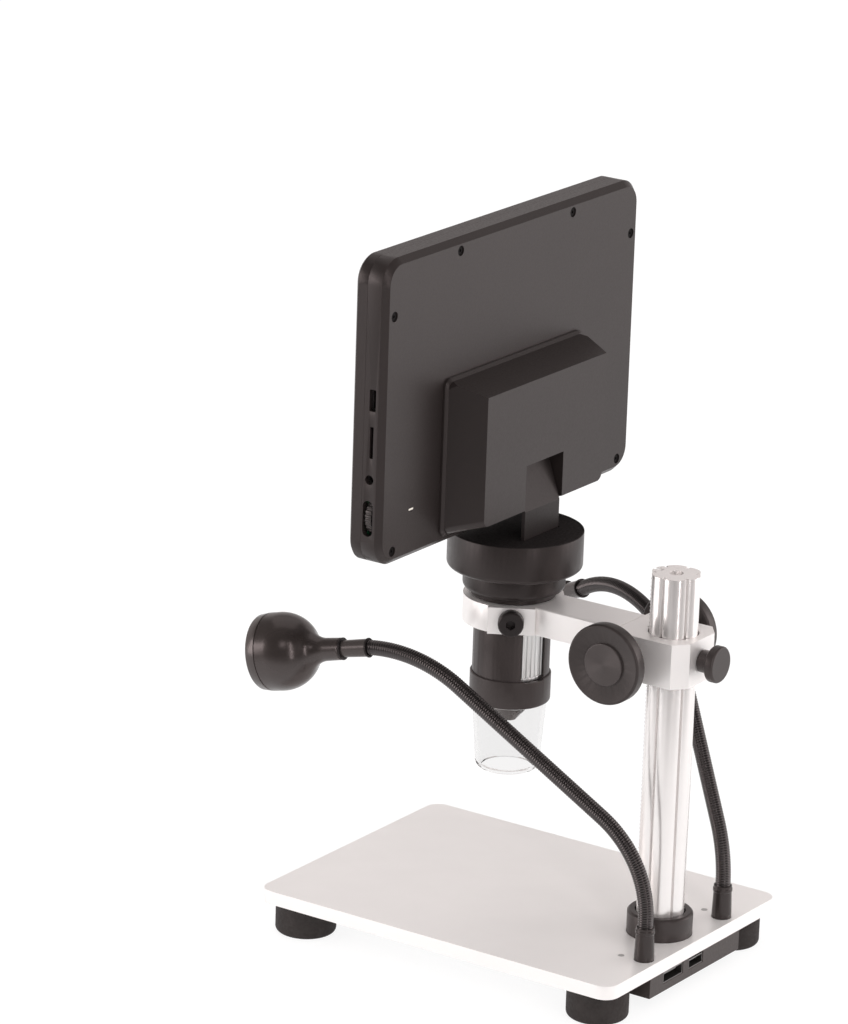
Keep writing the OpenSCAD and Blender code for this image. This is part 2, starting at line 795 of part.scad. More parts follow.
module knob(side) {
    start = block_half + free_gap;
    rim = knob_face - knob_rim;
    disc = knob_face - 0.1;
    // The ring round the middle disc is dished
    dish = knob_face - 1.1;
    color(black) facing_side(side, pinion_y, pinion_z) difference() {
        rotate_extrude()
            polygon([[0, start], [knob_hub_r, start], [knob_hub_r, rim], [knob_r - 0.6, rim],
                     [knob_r, rim + 0.6], [knob_r, knob_face - 0.6], [knob_r - 0.6, knob_face],
                     [knob_r - 1, knob_face], [knob_disc_r, dish], [knob_disc_r, disc - 0.3],
                     [knob_disc_r - 0.3, disc], [0, disc]]);
        translate([0, 0, start - 1]) cylinder(r = shaft_r + 0.02, h = shaft_end + 0.4 - start + 1);
    }
}

module lock_screw() {
    start = reach + column_r + 0.15;
    stem = block_rear_y + free_gap;
    color(black) facing_rear(0, 0, lock_z) rotate_extrude()
        polygon([[0, start], [lock_thread_r, start], [lock_thread_r, stem],
                 [lock_stem_d / 2, stem], [lock_stem_d / 2, stem + lock_stem_l],
                 [lock_head_d / 2 - 0.5, stem + lock_stem_l],
                 [lock_head_d / 2, stem + lock_stem_l + 0.5],
                 [lock_head_d / 2, stem + lock_stem_l + lock_head_l - 0.6],
                 [lock_head_d / 2 - 0.6, stem + lock_stem_l + lock_head_l],
                 [0, stem + lock_stem_l + lock_head_l]]);
}

module clamp_screw() {
    start = tube_r + 0.15;
    head = boss_r + 0.25;
    color(black) rotate(clamp_angle) translate([0, 0, clamp_z]) rotate([0, 90, 0]) difference() {
        rotate_extrude()
            polygon([[0, start], [clamp_thread_r, start], [clamp_thread_r, head],
                     [clamp_head_d / 2, head], [clamp_head_d / 2, head + clamp_head_l - 0.6],
                     [clamp_head_d / 2 - 0.6, head + clamp_head_l], [0, head + clamp_head_l]]);
        translate([0, 0, head + clamp_head_l - 2.4]) cylinder(r = 1.9, h = 4, $fn = 6);
    }
}

// ---- Camera tube ----

module tube_housing() {
    socket_r = cap_neck_r + 0.1;
    round_r = band_r - socket_r - 0.3;
    color(black) difference() {
        rotate_extrude() polygon(concat(
            [[socket_r, tube_low]],
            arc(band_r - round_r, tube_low + round_r, round_r, -90, 0, 4),
            [[band_r, band_z1 - 0.3], [band_r - 0.3, band_z1], [tube_r, band_z1],
             [tube_r, tube_top], [tube_bore_r, tube_top], [tube_bore_r, ledge_z1],
             [ledge_r, ledge_z1], [ledge_r, ledge_z0], [socket_r, ledge_z0]]));
        for (a = [0, 180]) rotate(window_angle + a)
            translate([0, 0, (window_z0 + window_z1) / 2]) rotate([0, 90, 0])
                translate([0, 0, tube_bore_r - 1]) linear_extrude(6)
                    rounded_rect(window_z1 - window_z0, window_w, 2);
    }
}

module lens_guide() {
    color(dark) difference() {
        union() {
            drum(guide_r, guide_z0, wheel_z1 + free_gap);
            drum(guide_flange_r, wheel_z1 + free_gap, tube_top);
        }
        drum(guide_bore_r, guide_z0 - 1, tube_top + 1);
        // Slots that keep the lens carriage from turning
        for (a = [0, 180]) rotate(a)
            translate([guide_bore_r - 1, -cam_pin_r - 0.1, pin_z - cam_pin_r - lens_travel - 0.3])
                cube([4, 2 * cam_pin_r + 0.2, 2 * (cam_pin_r + lens_travel + 0.3)]);
    }
}

module focus_wheel() {
    color(satin) difference() {
        drum(wheel_r, wheel_z0, wheel_z1);
        drum(wheel_bore_r, wheel_z0 - 1, wheel_z1 + 1);
        for (i = [0 : rib_count - 1]) rotate(360 * i / rib_count)
            translate([wheel_r + 0.25, 0, wheel_z0 + 1.5])
                cylinder(r = 0.7, h = wheel_z1 - wheel_z0 - 3, $fn = 24);
    }
}

module lens_carriage() {
    color(dark) {
        difference() {
            drum(carriage_r, carriage_z0, carriage_z1);
            drum(lens_r + run_gap, carriage_z0 + 2, carriage_z1 + 1);
            drum(lens_r - 1, carriage_z0 - 1, carriage_z1);
        }
        for (a = [0, 180]) rotate(a) translate([lens_r + 1, 0, pin_z]) rotate([0, 90, 0])
            cylinder(r = cam_pin_r, h = wheel_bore_r - 0.1 - lens_r - 1);
    }
}

module objective_lens() {
    z0 = carriage_z0 + 2 + run_gap;
    bulge_r = 18;
    half = asin(lens_r / bulge_r);
    color(clear) rotate_extrude() polygon(concat(
        arc(0, z0 + bulge_r, bulge_r, -90, half - 90, 4),
        arc(0, z0 + lens_t - bulge_r, bulge_r, 90 - half, 90, 4)));
}

module led_board() {
    color(white) {
        difference() {
            drum(cap_neck_r - 0.2, led_board_z, ledge_z0 - 0.05);
            drum(cone_r - 1.5, led_board_z - 1, ledge_z0 + 1);
        }
        for (a = [0 : 45 : 315]) rotate(a + 22.5)
            translate([led_ring_r - 0.9, -0.9, led_board_z - 0.8]) cube([1.8, 1.8, 0.9]);
    }
}

module lens_cone() {
    color(steel) rotate_extrude()
        polygon([[cone_r - 1, cone_z1], [cone_r, cone_z1], [cone_r, cone_step_z],
                 [2.8, cone_tip_z], [2, cone_tip_z], [cone_r - 1, cone_step_z + 0.6]]);
}

module clear_cap() {
    outer = concat(
        [[cap_neck_r, tube_low + cap_neck_h], [cap_neck_r, tube_low - 0.2],
         [cap_top_r, tube_low - 0.2], [cap_low_r, cap_low_z]],
        arc(cap_low_r - cap_lip_r, cap_z0 + cap_lip_r, cap_lip_r, -15, -90, 6));
    inner = concat(
        arc(cap_low_r - cap_lip_r, cap_z0 + cap_lip_r, cap_lip_r - cap_wall, -90, -15, 6),
        [[cap_low_r - cap_wall, cap_low_z], [cap_top_r - cap_wall - 0.1, tube_low - 2],
         [cap_neck_r - cap_wall, tube_low + cap_neck_h]]);
    color(clear) difference() {
        rotate_extrude() polygon(concat([[0, tube_low + cap_neck_h]], outer, [[0, cap_z0]]));
        rotate_extrude() polygon(concat([[0, cap_z0 + cap_wall]], inner,
            [[0, tube_low + cap_neck_h]]));
        drum(cap_mouth_d / 2, cap_z0 - 1, cap_z0 + 3);
        drum(cap_neck_r - cap_wall, tube_low + cap_neck_h - 1, tube_low + cap_neck_h + 1);
    }
}

// ---- Head disc and swivel ----

module head_base() {
    color(black) difference() {
        union() {
            drum(collar_r, collar_z0, collar_z1 + 1);
            rotate_extrude() disc_profile(head_disc_r, collar_z1, head_z1, 2.5);
        }
        drum(tube_r + run_gap, collar_z0 - 1, tube_top);
        drum(head_cavity_r, tube_top, head_z1 - head_top_wall);
        drum(post_r + run_gap, collar_z0, head_z1 + 1);
    }
}

module sensor_board() {
    color(circuit) {
        drum(sensor_board_r, sensor_board_z, sensor_board_z + 1);
        translate([-4.5, -4.5, sensor_board_z - 1.4]) cube([9, 9, 1.5]);
    }
}

module swivel_retainer() {
    color(steel) difference() {
        drum(retainer_r, post_z0, head_z1 - head_top_wall - free_gap);
        drum(post_r + 0.02, post_z0 - 1, head_z1);
    }
}

module at_bracket_screws() {
    for (x = [-8, 8], y = [-7, 6]) translate([x, y, swivel_z0 + swivel_floor]) children();
}

module swivel_disc() {
    rim = swivel_r - swivel_wall;
    color(black) difference() {
        union() {
            difference() {
                rotate_extrude() disc_profile(swivel_r, swivel_z0, swivel_z1, 2);
                drum(rim, swivel_z0 + swivel_floor, swivel_z1 - swivel_cap_t - 1.2);
                drum(rim - 1.2, swivel_z0 + swivel_floor, swivel_z1);
                drum(cap_seat_r, swivel_z1 - swivel_cap_t, swivel_z1 + 1);
            }
            drum(post_r, post_z0, swivel_z0 + swivel_floor);
        }
        drum(post_bore_r, post_z0 - 1, swivel_z1);
        at_bracket_screws() drum(1.05, -1.8, 1);
    }
}

module swivel_cap() {
    color(black) difference() {
        drum(cap_seat_r - 0.1, swivel_z1 - swivel_cap_t, swivel_z1);
        translate([-bracket_w / 2 - 0.4, bracket_y1 - bracket_t - 0.4, swivel_z1 - swivel_cap_t - 1])
            cube([bracket_w + 0.8, bracket_t + 0.8, swivel_cap_t + 2]);
    }
}

module hinge_bracket() {
    foot_z = swivel_z0 + swivel_floor;
    mid_y = bracket_y1 - bracket_t / 2;
    run = norm([mid_y - hinge_y, hinge_z - bracket_bend_z]);
    lean = atan2(mid_y - hinge_y, hinge_z - bracket_bend_z);
    color(dark) difference() {
        along_x(bracket_w) difference() {
            union() {
                translate([bracket_foot_y, foot_z])
                    square([bracket_y1 - bracket_foot_y, bracket_t]);
                translate([bracket_y1 - bracket_t, foot_z])
                    square([bracket_t, bracket_bend_z - foot_z]);
                translate([mid_y, bracket_bend_z]) circle(bracket_t / 2);
                translate([mid_y, bracket_bend_z]) rotate(lean)
                    translate([-bracket_t / 2, 0]) square([bracket_t, run]);
                translate([hinge_y, hinge_z]) circle(eye_r);
            }
            translate([hinge_y, hinge_z]) circle(hinge_pin_r + run_gap);
        }
        drum(post_bore_r + 0.5, foot_z - 1, foot_z + bracket_t + 1);
        at_bracket_screws() drum(1.2, -1, bracket_t + 1);
    }
}

module bracket_screws() {
    color(steel) at_bracket_screws() translate([0, 0, bracket_t]) screw(2, 1.3, 1, bracket_t + 1.6);
}

// ---- Screen ----

// Hinge housing: a block with a straight foot and four sloping sides, drawn g smaller all round
// for its inside
module hump(g, y0) {
    y1 = hump_y1 - g;
    zc = (hump_z0 + hump_z1) / 2;
    wb = hump_w / 2 - g - hump_lip;
    hb = hump_h / 2 - g - hump_lip;
    rise = y1 - hump_knee_y;
    // Sloping planes run on past the block on both sides
    over = 1;
    kx = over * rise / hump_slope_x;
    kz = over * rise / hump_slope_z;
    wt = wb - hump_slope_x - over;
    ht = hb - hump_slope_z - over;
    // The foot ends lower inside, so that its wall stays thick
    chamfered_slab(2 * (wb + hump_lip), 2 * (hb + hump_lip), hump_corner - g,
                   max(hump_lip - 0.1 - g, 0.2), y0, hump_knee_y - g / 2, zc);
    difference() {
        intersection() {
            slab(2 * wb, 2 * hb, hump_corner - g, y0, y1, zc);
            translate([0, 0, zc - hump_h]) linear_extrude(2 * hump_h)
                polygon([[-wb - over, y0 - 1], [wb + over, y0 - 1], [wb + over, hump_knee_y - kx],
                         [wt, y1 + kx], [-wt, y1 + kx], [-wb - over, hump_knee_y - kx]]);
            along_x(2 * hump_w)
                polygon([[y0 - 1, zc - hb - over], [hump_knee_y - kz, zc - hb - over],
                         [y1 + kz, zc - ht], [y1 + kz, zc + ht],
                         [hump_knee_y - kz, zc + hb + over], [y0 - 1, zc + hb + over]]);
        }
        for (s = [-1, 1])
            round_hump_edge([s * wb, hump_knee_y, zc - hb], rise, s, hump_corner - g);
    }
}

// Cutter that rounds the edge between a sloping side and the sloping lower face. It starts at p
module round_hump_edge(p, rise, s, r) {
    e = [-s * hump_slope_x, rise, hump_slope_z];
    side = [s * rise, hump_slope_x, 0] / norm([rise, hump_slope_x]);
    under = [0, hump_slope_z, -rise] / norm([rise, hump_slope_z]);
    inset = (side + under) * r / (1 + side * under);
    yaw = atan2(e[1], e[0]);
    pitch = acos(e[2] / norm(e));
    ax = [cos(pitch) * cos(yaw), cos(pitch) * sin(yaw), -sin(pitch)];
    ay = [-sin(yaw), cos(yaw), 0];
    // Corners of the cutter, seen along the edge: the round's centre, its two ends and the edge
    ends = [for (v = [side * r, inset * 1.6, under * r]) [v * ax, v * ay]];
    translate(p - inset) rotate([0, pitch, yaw]) translate([0, 0, -2 * r]) difference() {
        linear_extrude(norm(e) + 4 * r) polygon(concat([[0, 0]], ends));
        cylinder(r = r + 0.02, h = norm(e) + 5 * r);
    }
}

module rear_housing() {
    inner_r = screen_corner - case_wall;
    pocket_wall = 2;
    color(black) difference() {
        union() {
            difference() {
                union() {
                    chamfered_slab(screen_w, screen_h, screen_corner, rear_chamfer,
                                   case_seam_y, case_y1, case_zc);
                    hump(0, case_y1 - 0.5);
                }
                chamfered_slab(screen_w - 2 * case_wall, screen_h - 2 * case_wall, inner_r,
                               inner_chamfer, case_seam_y - 1, case_y1 - case_wall, case_zc);
                hump(case_wall, case_y1 - case_wall - 1);
            }
            // Pocket for the hinge bracket, closed towards the inside
            intersection() {
                translate([-slot_half - pocket_wall, case_y1 - case_wall, case_z0])
                    cube([2 * (slot_half + pocket_wall), hump_t + case_wall,
                          pocket_top_z + pocket_wall - case_z0]);
                hump(0, case_y1 - case_wall);
            }
            // Pillars for the board
            for (p = [[-case_half + 30, 101], [-case_half + 30, 72], [case_half - 18, 101],
                      [case_half - 18, 72]])
                facing_rear(p[0], board_y1 + 0.1, case_z0 + p[1])
                    cylinder(r = 2.5, h = case_y1 - 1 - board_y1 - 0.1);
        }
        // Way for the bracket, open to the rear and below
        translate([-slot_half, case_y1, case_z0 - 1])
            cube([2 * slot_half, hump_t + 1, slot_top_z - case_z0 + 1]);
        translate([-slot_half, case_y1, case_z0 + 1])
            cube([2 * slot_half, hump_t - case_wall, pocket_top_z - case_z0 - 1]);
        facing_side(1, hinge_y, hinge_z)
            translate([0, 0, -slot_half - pocket_wall - 1])
                cylinder(r = hinge_pin_r + 0.02, h = 2 * (slot_half + pocket_wall + 1));
        // Case screws and their recesses
        for (p = case_screws) facing_rear(p[0], case_y1, p[1]) {
            translate([0, 0, -1]) cylinder(r = case_screw_head_r + 0.15, h = 2);
            translate([0, 0, -case_wall - 4]) cylinder(r = case_screw_r + 0.15, h = case_wall + 4);
        }
        // Openings in the right side
        slab_hole(power_w, power_t, port_y, power_z);
        slab_hole(card_w, card_t, port_y, card_z);
        slab_hole(dimmer_slot_w, dimmer_slot_t, dimmer_y, dimmer_z, dimmer_slot_t / 2 - 0.01);
        facing_side(1, jack_y, jack_z)
            translate([0, 0, case_half - case_wall - 1]) cylinder(d = jack_d, h = case_wall + 2);
    }
}

// Cutter through the case's right wall: w along Z and t along Y
module slab_hole(w, t, y, z, r = 0.3) {
    facing_side(1, y, z) translate([0, 0, case_half - case_wall - 1])
        linear_extrude(case_wall + 2) rounded_rect(w, t, r);
}

module at_keys() {
    for (i = [-2 : 2]) translate([i * key_pitch, 0, key_z]) children();
}

module front_bezel() {
    inner_w = screen_w - 2 * case_wall;
    inner_h = screen_h - 2 * case_wall;
    inner_r = screen_corner - case_wall;
    color(black) difference() {
        union() {
            difference() {
                mirror([0, 1, 0])
                    chamfered_slab(screen_w, screen_h, screen_corner, 1,
                                   -case_seam_y + 0.05, -case_y0, case_zc);
                slab(inner_w, inner_h, inner_r, case_y0 + bezel_face, case_seam_y + 1, case_zc);
            }
            // Lip that enters the rear housing
            difference() {
                slab(inner_w - 0.2, inner_h - 0.2, inner_r - 0.1, lip_y0, lip_y1, case_zc);
                slab(inner_w - 0.2 - 2 * lip_t, inner_h - 0.2 - 2 * lip_t,
                     inner_r - 0.1 - lip_t, lip_y0 - 1, lip_y1 + 1, case_zc);
                translate([board_edge_x - 1, board_y1 - 0.5, case_z0 + 9])
                    cube([10, 10, 66]);
            }
            slab_ring(inner_w + 1, inner_h + 1, inner_w - 0.2 - 2 * lip_t,
                      inner_h - 0.2 - 2 * lip_t, inner_r, lip_y0, case_seam_y - 0.3);
            // Lugs for the case screws, each carried by the nearest wall
            for (p = case_screws) intersection() {
                chamfered_slab(inner_w - 0.4, inner_h - 0.4, inner_r - 0.2, rear_chamfer,
                               case_seam_y - 0.4, lug_y1, case_zc);
                translate([p[0] + 2 * p[2], 0, p[1] + 2 * p[3]])
                    cube([2 * lug + 4 * abs(p[2]), screen_t * 4, 2 * lug + 4 * abs(p[3])],
                         center = true);
            }
        }
        slab(picture_w + 0.5, picture_h + 0.5, 1, case_y0 - 1, case_y0 + bezel_face + 1, picture_z);
        // Room for the panel, also in the rounded corners
        slab(panel_w + 0.3, panel_h + 0.3, 1, case_y0 + bezel_face, panel_y1 + 0.1, picture_z);
        at_keys() slab(key_w + 2 * key_hole_gap, key_h + 2 * key_hole_gap,
                       key_h / 2, case_y0 - 1, case_y0 + bezel_face + 1, 0);
        for (p = case_screws) facing_rear(p[0], lug_y1 - 5, p[1])
            cylinder(r = case_screw_r + run_gap, h = 6);
    }
}

// Upright ring between two rounded rectangles
module slab_ring(w, h, w_in, h_in, r, y0, y1) {
    difference() {
        slab(w, h, r, y0, y1, case_zc);
        slab(w_in, h_in, max(r - (w - w_in) / 2, 1), y0 - 1, y1 + 1, case_zc);
    }
}

module lcd_panel() {
    color([0.05, 0.06, 0.08]) slab(panel_w, panel_h, 1, panel_y0, panel_y1, picture_z);
}

module main_board() {
    left = -case_half + 22;
    inner = case_half - 26;
    step = case_half - 15;
    color(circuit) {
        translate([0, board_y1, case_z0]) rotate([90, 0, 0]) linear_extrude(board_t)
            polygon([[left, 66], [left, 106], [step, 106], [step, 74], [board_edge_x, 74],
                     [board_edge_x, 11], [step, 11], [step, 3.5], [left + 12, 3.5],
                     [left + 12, 14], [inner, 14], [inner, 66]]);
        // Main chip, memory and a connector
        slab(16, 16, 0.5, board_y1 - 0.1, board_y1 + 1.6, case_z0 + 90, -5);
        slab(9, 12, 0.5, board_y1 - 0.1, board_y1 + 1.2, case_z0 + 92, 18);
        slab(22, 5, 0.5, board_y1 - 0.1, board_y1 + 2.6, case_z0 + 78, 38);
        // Key switches
        at_keys() slab(4.5, 4.5, 0.3, board_y0 - 1, board_y0 + 0.1, 0);
        // Post of the dimmer
        facing_rear(dimmer_x, board_y1 - 0.1, dimmer_z)
            cylinder(r = 1.5, h = dimmer_y + dimmer_t / 2 - board_y1);
    }
}

module battery() {
    color([0.15, 0.35, 0.6]) facing_side(1, hump_y1 - case_wall - free_gap - cell_r, cell_z)
        translate([0, 0, -cell_l / 2]) cylinder(r = cell_r, h = cell_l);
}

module hinge_pin() {
    color(steel) facing_side(1, hinge_y, hinge_z)
        translate([0, 0, -slot_half - 2]) cylinder(r = hinge_pin_r, h = 2 * slot_half + 4);
}

module housing_screws() {
    color(steel) for (p = case_screws) facing_rear(p[0], case_y1 - 1, p[1])
        screw(case_screw_head_r, 0.6, case_screw_r, 6, 0.6);
}

// Socket body behind the right wall, with its mouth towards +X
module side_socket(w, t, depth, y, z, wall) {
    x1 = case_half - case_wall - 0.1;
    difference() {
        translate([x1 - depth, board_y1 + 0.05, z - w / 2 - wall])
            cube([depth, y + t / 2 + wall - board_y1 - 0.05, w + 2 * wall]);
        translate([x1 - depth + 1, y - t / 2, z - w / 2]) cube([depth, t, w]);
    }
}

module power_port() {
    color(steel) {
        side_socket(power_w - 1, power_t - 0.8, 5.5, port_y, power_z, 0.35);
        translate([case_half - case_wall - 5, port_y - 0.3, power_z - 2.2]) cube([3.6, 0.6, 4.4]);
    }
}

module card_slot() {
    color(steel) side_socket(card_w - 0.4, card_t - 0.2, 13, port_y, card_z, 0.35);
}

module remote_jack() {
    x1 = case_half - case_wall - 0.1;
    color(dark) difference() {
        translate([x1 - 11, board_y1 + 0.05, jack_z - 3])
            cube([11, jack_y + 2.1 - board_y1 - 0.05, 6]);
        facing_side(1, jack_y, jack_z) translate([0, 0, x1 - 10]) cylinder(r = 1.3, h = 12);
    }
}

module dimmer_wheel() {
    color(dark) facing_rear(dimmer_x, dimmer_y - dimmer_t / 2, dimmer_z) difference() {
        cylinder(r = dimmer_r, h = dimmer_t);
        translate([0, 0, -1]) cylinder(r = 1.5 + run_gap, h = dimmer_t + 2);
        for (i = [0 : 29]) rotate(12 * i) translate([dimmer_r + 0.15, 0, -1])
            cylinder(r = 0.5, h = dimmer_t + 2, $fn = 20);
    }
}

module key(i) {
    stem_y1 = board_y0 - 1 - key_travel - 0.2;
    face_y = case_y0 - key_travel + 0.1;
    color(dark) translate([(i - 3) * key_pitch, 0, key_z]) {
        slab(key_w, key_h, key_h / 2 - 0.01, face_y, case_y0 + bezel_face + 0.3, 0);
        slab(key_w + 3, key_h + 3, 1, case_y0 + bezel_face + 0.15, case_y0 + bezel_face + 0.9, 0);
        slab(3, 3, 0.5, case_y0 + bezel_face + 0.5, stem_y1, 0);
    }
}

// ---- Lamps ----

function first_bend(n) =
    [n[3][0] * (1 - cos(n[3][1])), n[2] + n[3][0] * sin(n[3][1])];
function along(p, heading, l) = p + l * [sin(heading), cos(heading)];
function hose_pivot(n) = along(first_bend(n), n[3][1], n[4] * hose_split);
function second_start(n) = along(first_bend(n), n[3][1], n[4]);
function second_centre(n) = second_start(n) + n[3][2] * [cos(n[3][1]), -sin(n[3][1])];
function hose_end(n) = let (h = n[3][1] + n[3][3])
    second_centre(n) + n[3][2] * [-cos(h), sin(h)];

// Upright plane of one hose: X runs outwards along it and Z up
module in_hose_plane(n) {
    translate([n[0], socket_y, 0]) rotate(n[1]) children();
}

module hose_bend(centre, bend_r, h0, h1) {
    translate([centre[0], 0, centre[1]]) rotate([90, 0, 0]) rotate(180 - h1)
        rotate_extrude(angle = h1 - h0) translate([bend_r, 0]) circle(hose_r);
}

// Straight run, lapped into the bends at its ends
module hose_run(p, heading, l, before = 0, after = 0) {
    translate([p[0], 0, p[1]]) rotate([0, heading, 0]) translate([0, 0, -before])
        cylinder(r = hose_r - 0.02, h = l + before + after);
}

module hose_lower(n) {
    p = hose_pivot(n);
    color(black) in_hose_plane(n) {
        hose_run([0, hose_seat_z], 0, n[2] - hose_seat_z, 0, bend_lap);
        hose_bend([n[3][0], n[2]], n[3][0], 0, n[3][1]);
        hose_run(first_bend(n), n[3][1], n[4] * hose_split, bend_lap, 0);
        translate([p[0], 0, p[1]]) sphere(ball_r);
    }
}

module hose_upper(n) {
    p = hose_pivot(n);
    e = hose_end(n);
    color(black) in_hose_plane(n) {
        difference() {
            hose_run(p, n[3][1], n[4] * (1 - hose_split), 0, bend_lap);
            translate([p[0], 0, p[1]]) sphere(cup_r);
        }
        hose_bend(second_centre(n), n[3][2], n[3][1], n[3][1] + n[3][3]);
        translate([e[0], 0, e[1]]) sphere(ball_r);
    }
}

// Lamp's own axis: Z runs from the end of its hose to its open end
module at_lamp(n) {
    e = hose_end(n);
    in_hose_plane(n) translate([e[0], 0, e[1]]) rotate([0, 90 + n[5], 0]) children();
}

module lamp_shell(n) {
    // Where the fillet from the neck meets the round back
    lift = sqrt(pow(bulb_r + bulb_fillet, 2) - pow(neck_r + bulb_fillet, 2));
    meet = atan2(neck_r + bulb_fillet, -lift);
    color(black) at_lamp(n) difference() {
        rotate_extrude() polygon(concat(
            [[0, sleeve_start], [sleeve_r + 0.3, sleeve_start], [sleeve_r + 0.3, sleeve_start + 1.2],
             [sleeve_r, sleeve_start + 1.4], [sleeve_r - 0.2, sleeve_end - 0.6],
             [neck_r - 0.1, sleeve_end - 0.4], [neck_r - 0.1, sleeve_end + 0.8],
             [neck_r - 0.5, sleeve_end + 1]],
            [for (p = arc(bulb_centre - lift, neck_r + bulb_fillet, bulb_fillet,
                          -90, meet - 180, 8)) [p[1], p[0]]],
            [for (p = arc(bulb_centre, 0, bulb_r, meet, 90, 16)) [p[1], p[0]]],
            [[bulb_r - 0.1, lamp_l - 4.5], [bulb_r - 0.35, lamp_l - 4.3], [bulb_r - 0.35, lamp_l - 4],
             [bulb_r - 0.15, lamp_l - 3.8], [bulb_mouth_d / 2, lamp_l], [0, lamp_l]]));
        sphere(cup_r);
        drum(1.2, 0, lamp_l);
        rotate_extrude() polygon([[0, led_seat], [9, led_seat], [bulb_r - lamp_wall - 0.6, led_seat + 4],
            [bulb_mouth_d / 2 - lamp_wall - 0.6, lens_seat - 0.1],
            [bulb_mouth_d / 2 - lamp_wall - 0.6, lens_seat],
            [bulb_mouth_d / 2 - lamp_wall + 0.6, lens_seat],
            [bulb_mouth_d / 2 - lamp_wall + 0.6, lamp_l + 1], [0, lamp_l + 1]]);
    }
}

module lamp_lens(n) {
    color(clear) at_lamp(n)
        drum(bulb_mouth_d / 2 - lamp_wall + 0.55, lens_seat + 0.05, lens_seat + 1.6);
}

module lamp_led(n) {
    color(white) at_lamp(n) {
        drum(8.5, led_seat + 0.1, led_seat + 1.7);
        drum(2.6, led_seat + 1.6, led_seat + 3);
    }
}

base_plate();
rubber_feet();
foot_screws();
supply_case();
supply_board();
supply_sockets();
supply_screws();
column();
column_bolt();
column_flange();
gear_rack();
gooseneck_sockets();
arm_bracket();
shaft_bushes();
pinion_shaft();
knob(1);  // knob_right
knob(-1);  // knob_left
lock_screw();
clamp_screw();
tube_housing();
lens_guide();
head_base();
sensor_board();
led_board();
lens_cone();
focus_wheel();
lens_carriage();
objective_lens();
clear_cap();
swivel_disc();
swivel_cap();
swivel_retainer();
hinge_bracket();
bracket_screws();
rear_housing();
front_bezel();
lcd_panel();
main_board();
battery();
hinge_pin();
housing_screws();
power_port();
card_slot();
remote_jack();
dimmer_wheel();
key(1);  // key_1
key(2);  // key_2
key(3);  // key_3
key(4);  // key_4
key(5);  // key_5
hose_lower(right_neck);  // right_hose_lower
hose_upper(right_neck);  // right_hose_upper
lamp_shell(right_neck);  // right_lamp_shell
lamp_lens(right_neck);  // right_lamp_lens
lamp_led(right_neck);  // right_lamp_led
hose_lower(left_neck);  // left_hose_lower
hose_upper(left_neck);  // left_hose_upper
lamp_shell(left_neck);  // left_lamp_shell
lamp_lens(left_neck);  // left_lamp_lens
lamp_led(left_neck);  // left_lamp_led
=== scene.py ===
"""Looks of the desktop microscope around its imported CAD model. Lengths are in metres, angles in degrees."""

import json
import math

import bmesh
import bpy
from mathutils import Matrix, Vector


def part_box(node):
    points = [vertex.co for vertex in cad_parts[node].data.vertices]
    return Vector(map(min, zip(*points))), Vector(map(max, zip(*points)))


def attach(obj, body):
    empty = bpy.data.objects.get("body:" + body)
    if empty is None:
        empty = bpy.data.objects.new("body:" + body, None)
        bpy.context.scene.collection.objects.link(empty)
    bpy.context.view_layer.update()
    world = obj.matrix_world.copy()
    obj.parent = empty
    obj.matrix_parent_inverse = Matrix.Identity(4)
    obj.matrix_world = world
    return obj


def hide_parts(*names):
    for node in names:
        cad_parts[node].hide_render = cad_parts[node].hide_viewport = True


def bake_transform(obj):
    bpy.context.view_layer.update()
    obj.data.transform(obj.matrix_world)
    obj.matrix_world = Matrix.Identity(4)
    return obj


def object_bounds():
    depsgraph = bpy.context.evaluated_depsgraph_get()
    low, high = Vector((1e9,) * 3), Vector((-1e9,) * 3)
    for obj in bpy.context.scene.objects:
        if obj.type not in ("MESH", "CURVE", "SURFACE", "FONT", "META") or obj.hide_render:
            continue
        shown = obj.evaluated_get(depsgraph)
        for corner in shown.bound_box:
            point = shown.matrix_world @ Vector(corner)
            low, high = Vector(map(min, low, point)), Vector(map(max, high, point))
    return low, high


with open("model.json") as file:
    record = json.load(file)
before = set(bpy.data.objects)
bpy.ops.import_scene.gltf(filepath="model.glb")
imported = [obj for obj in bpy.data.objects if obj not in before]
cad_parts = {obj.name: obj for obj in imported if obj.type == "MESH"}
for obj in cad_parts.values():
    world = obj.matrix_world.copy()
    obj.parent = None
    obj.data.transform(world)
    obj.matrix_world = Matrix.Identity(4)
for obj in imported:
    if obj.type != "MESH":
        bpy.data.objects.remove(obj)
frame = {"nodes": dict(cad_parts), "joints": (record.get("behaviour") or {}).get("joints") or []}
cad_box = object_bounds()

MM = 0.001
nodes = frame["nodes"]
joint_place = {j["name"]: Vector(j["pos_m"]) for j in frame["joints"] if "pos_m" in j}


# ---- Node materials ----


def math_node(tree, operation, a, b=0.0):
    """Result of a maths node. Each operand is a number or another node's output."""
    node = tree.nodes.new("ShaderNodeMath")
    node.operation = operation
    for socket, value in zip(node.inputs, (a, b)):
        if isinstance(value, (int, float)):
            socket.default_value = value
        else:
            tree.links.new(value, socket)
    return node.outputs[0]


def part_along(tree, vector, direction):
    """How far a vector goes along a direction."""
    node = tree.nodes.new("ShaderNodeVectorMath")
    node.operation = "DOT_PRODUCT"
    node.inputs[1].default_value = direction
    tree.links.new(vector, node.inputs[0])
    return node.outputs["Value"]


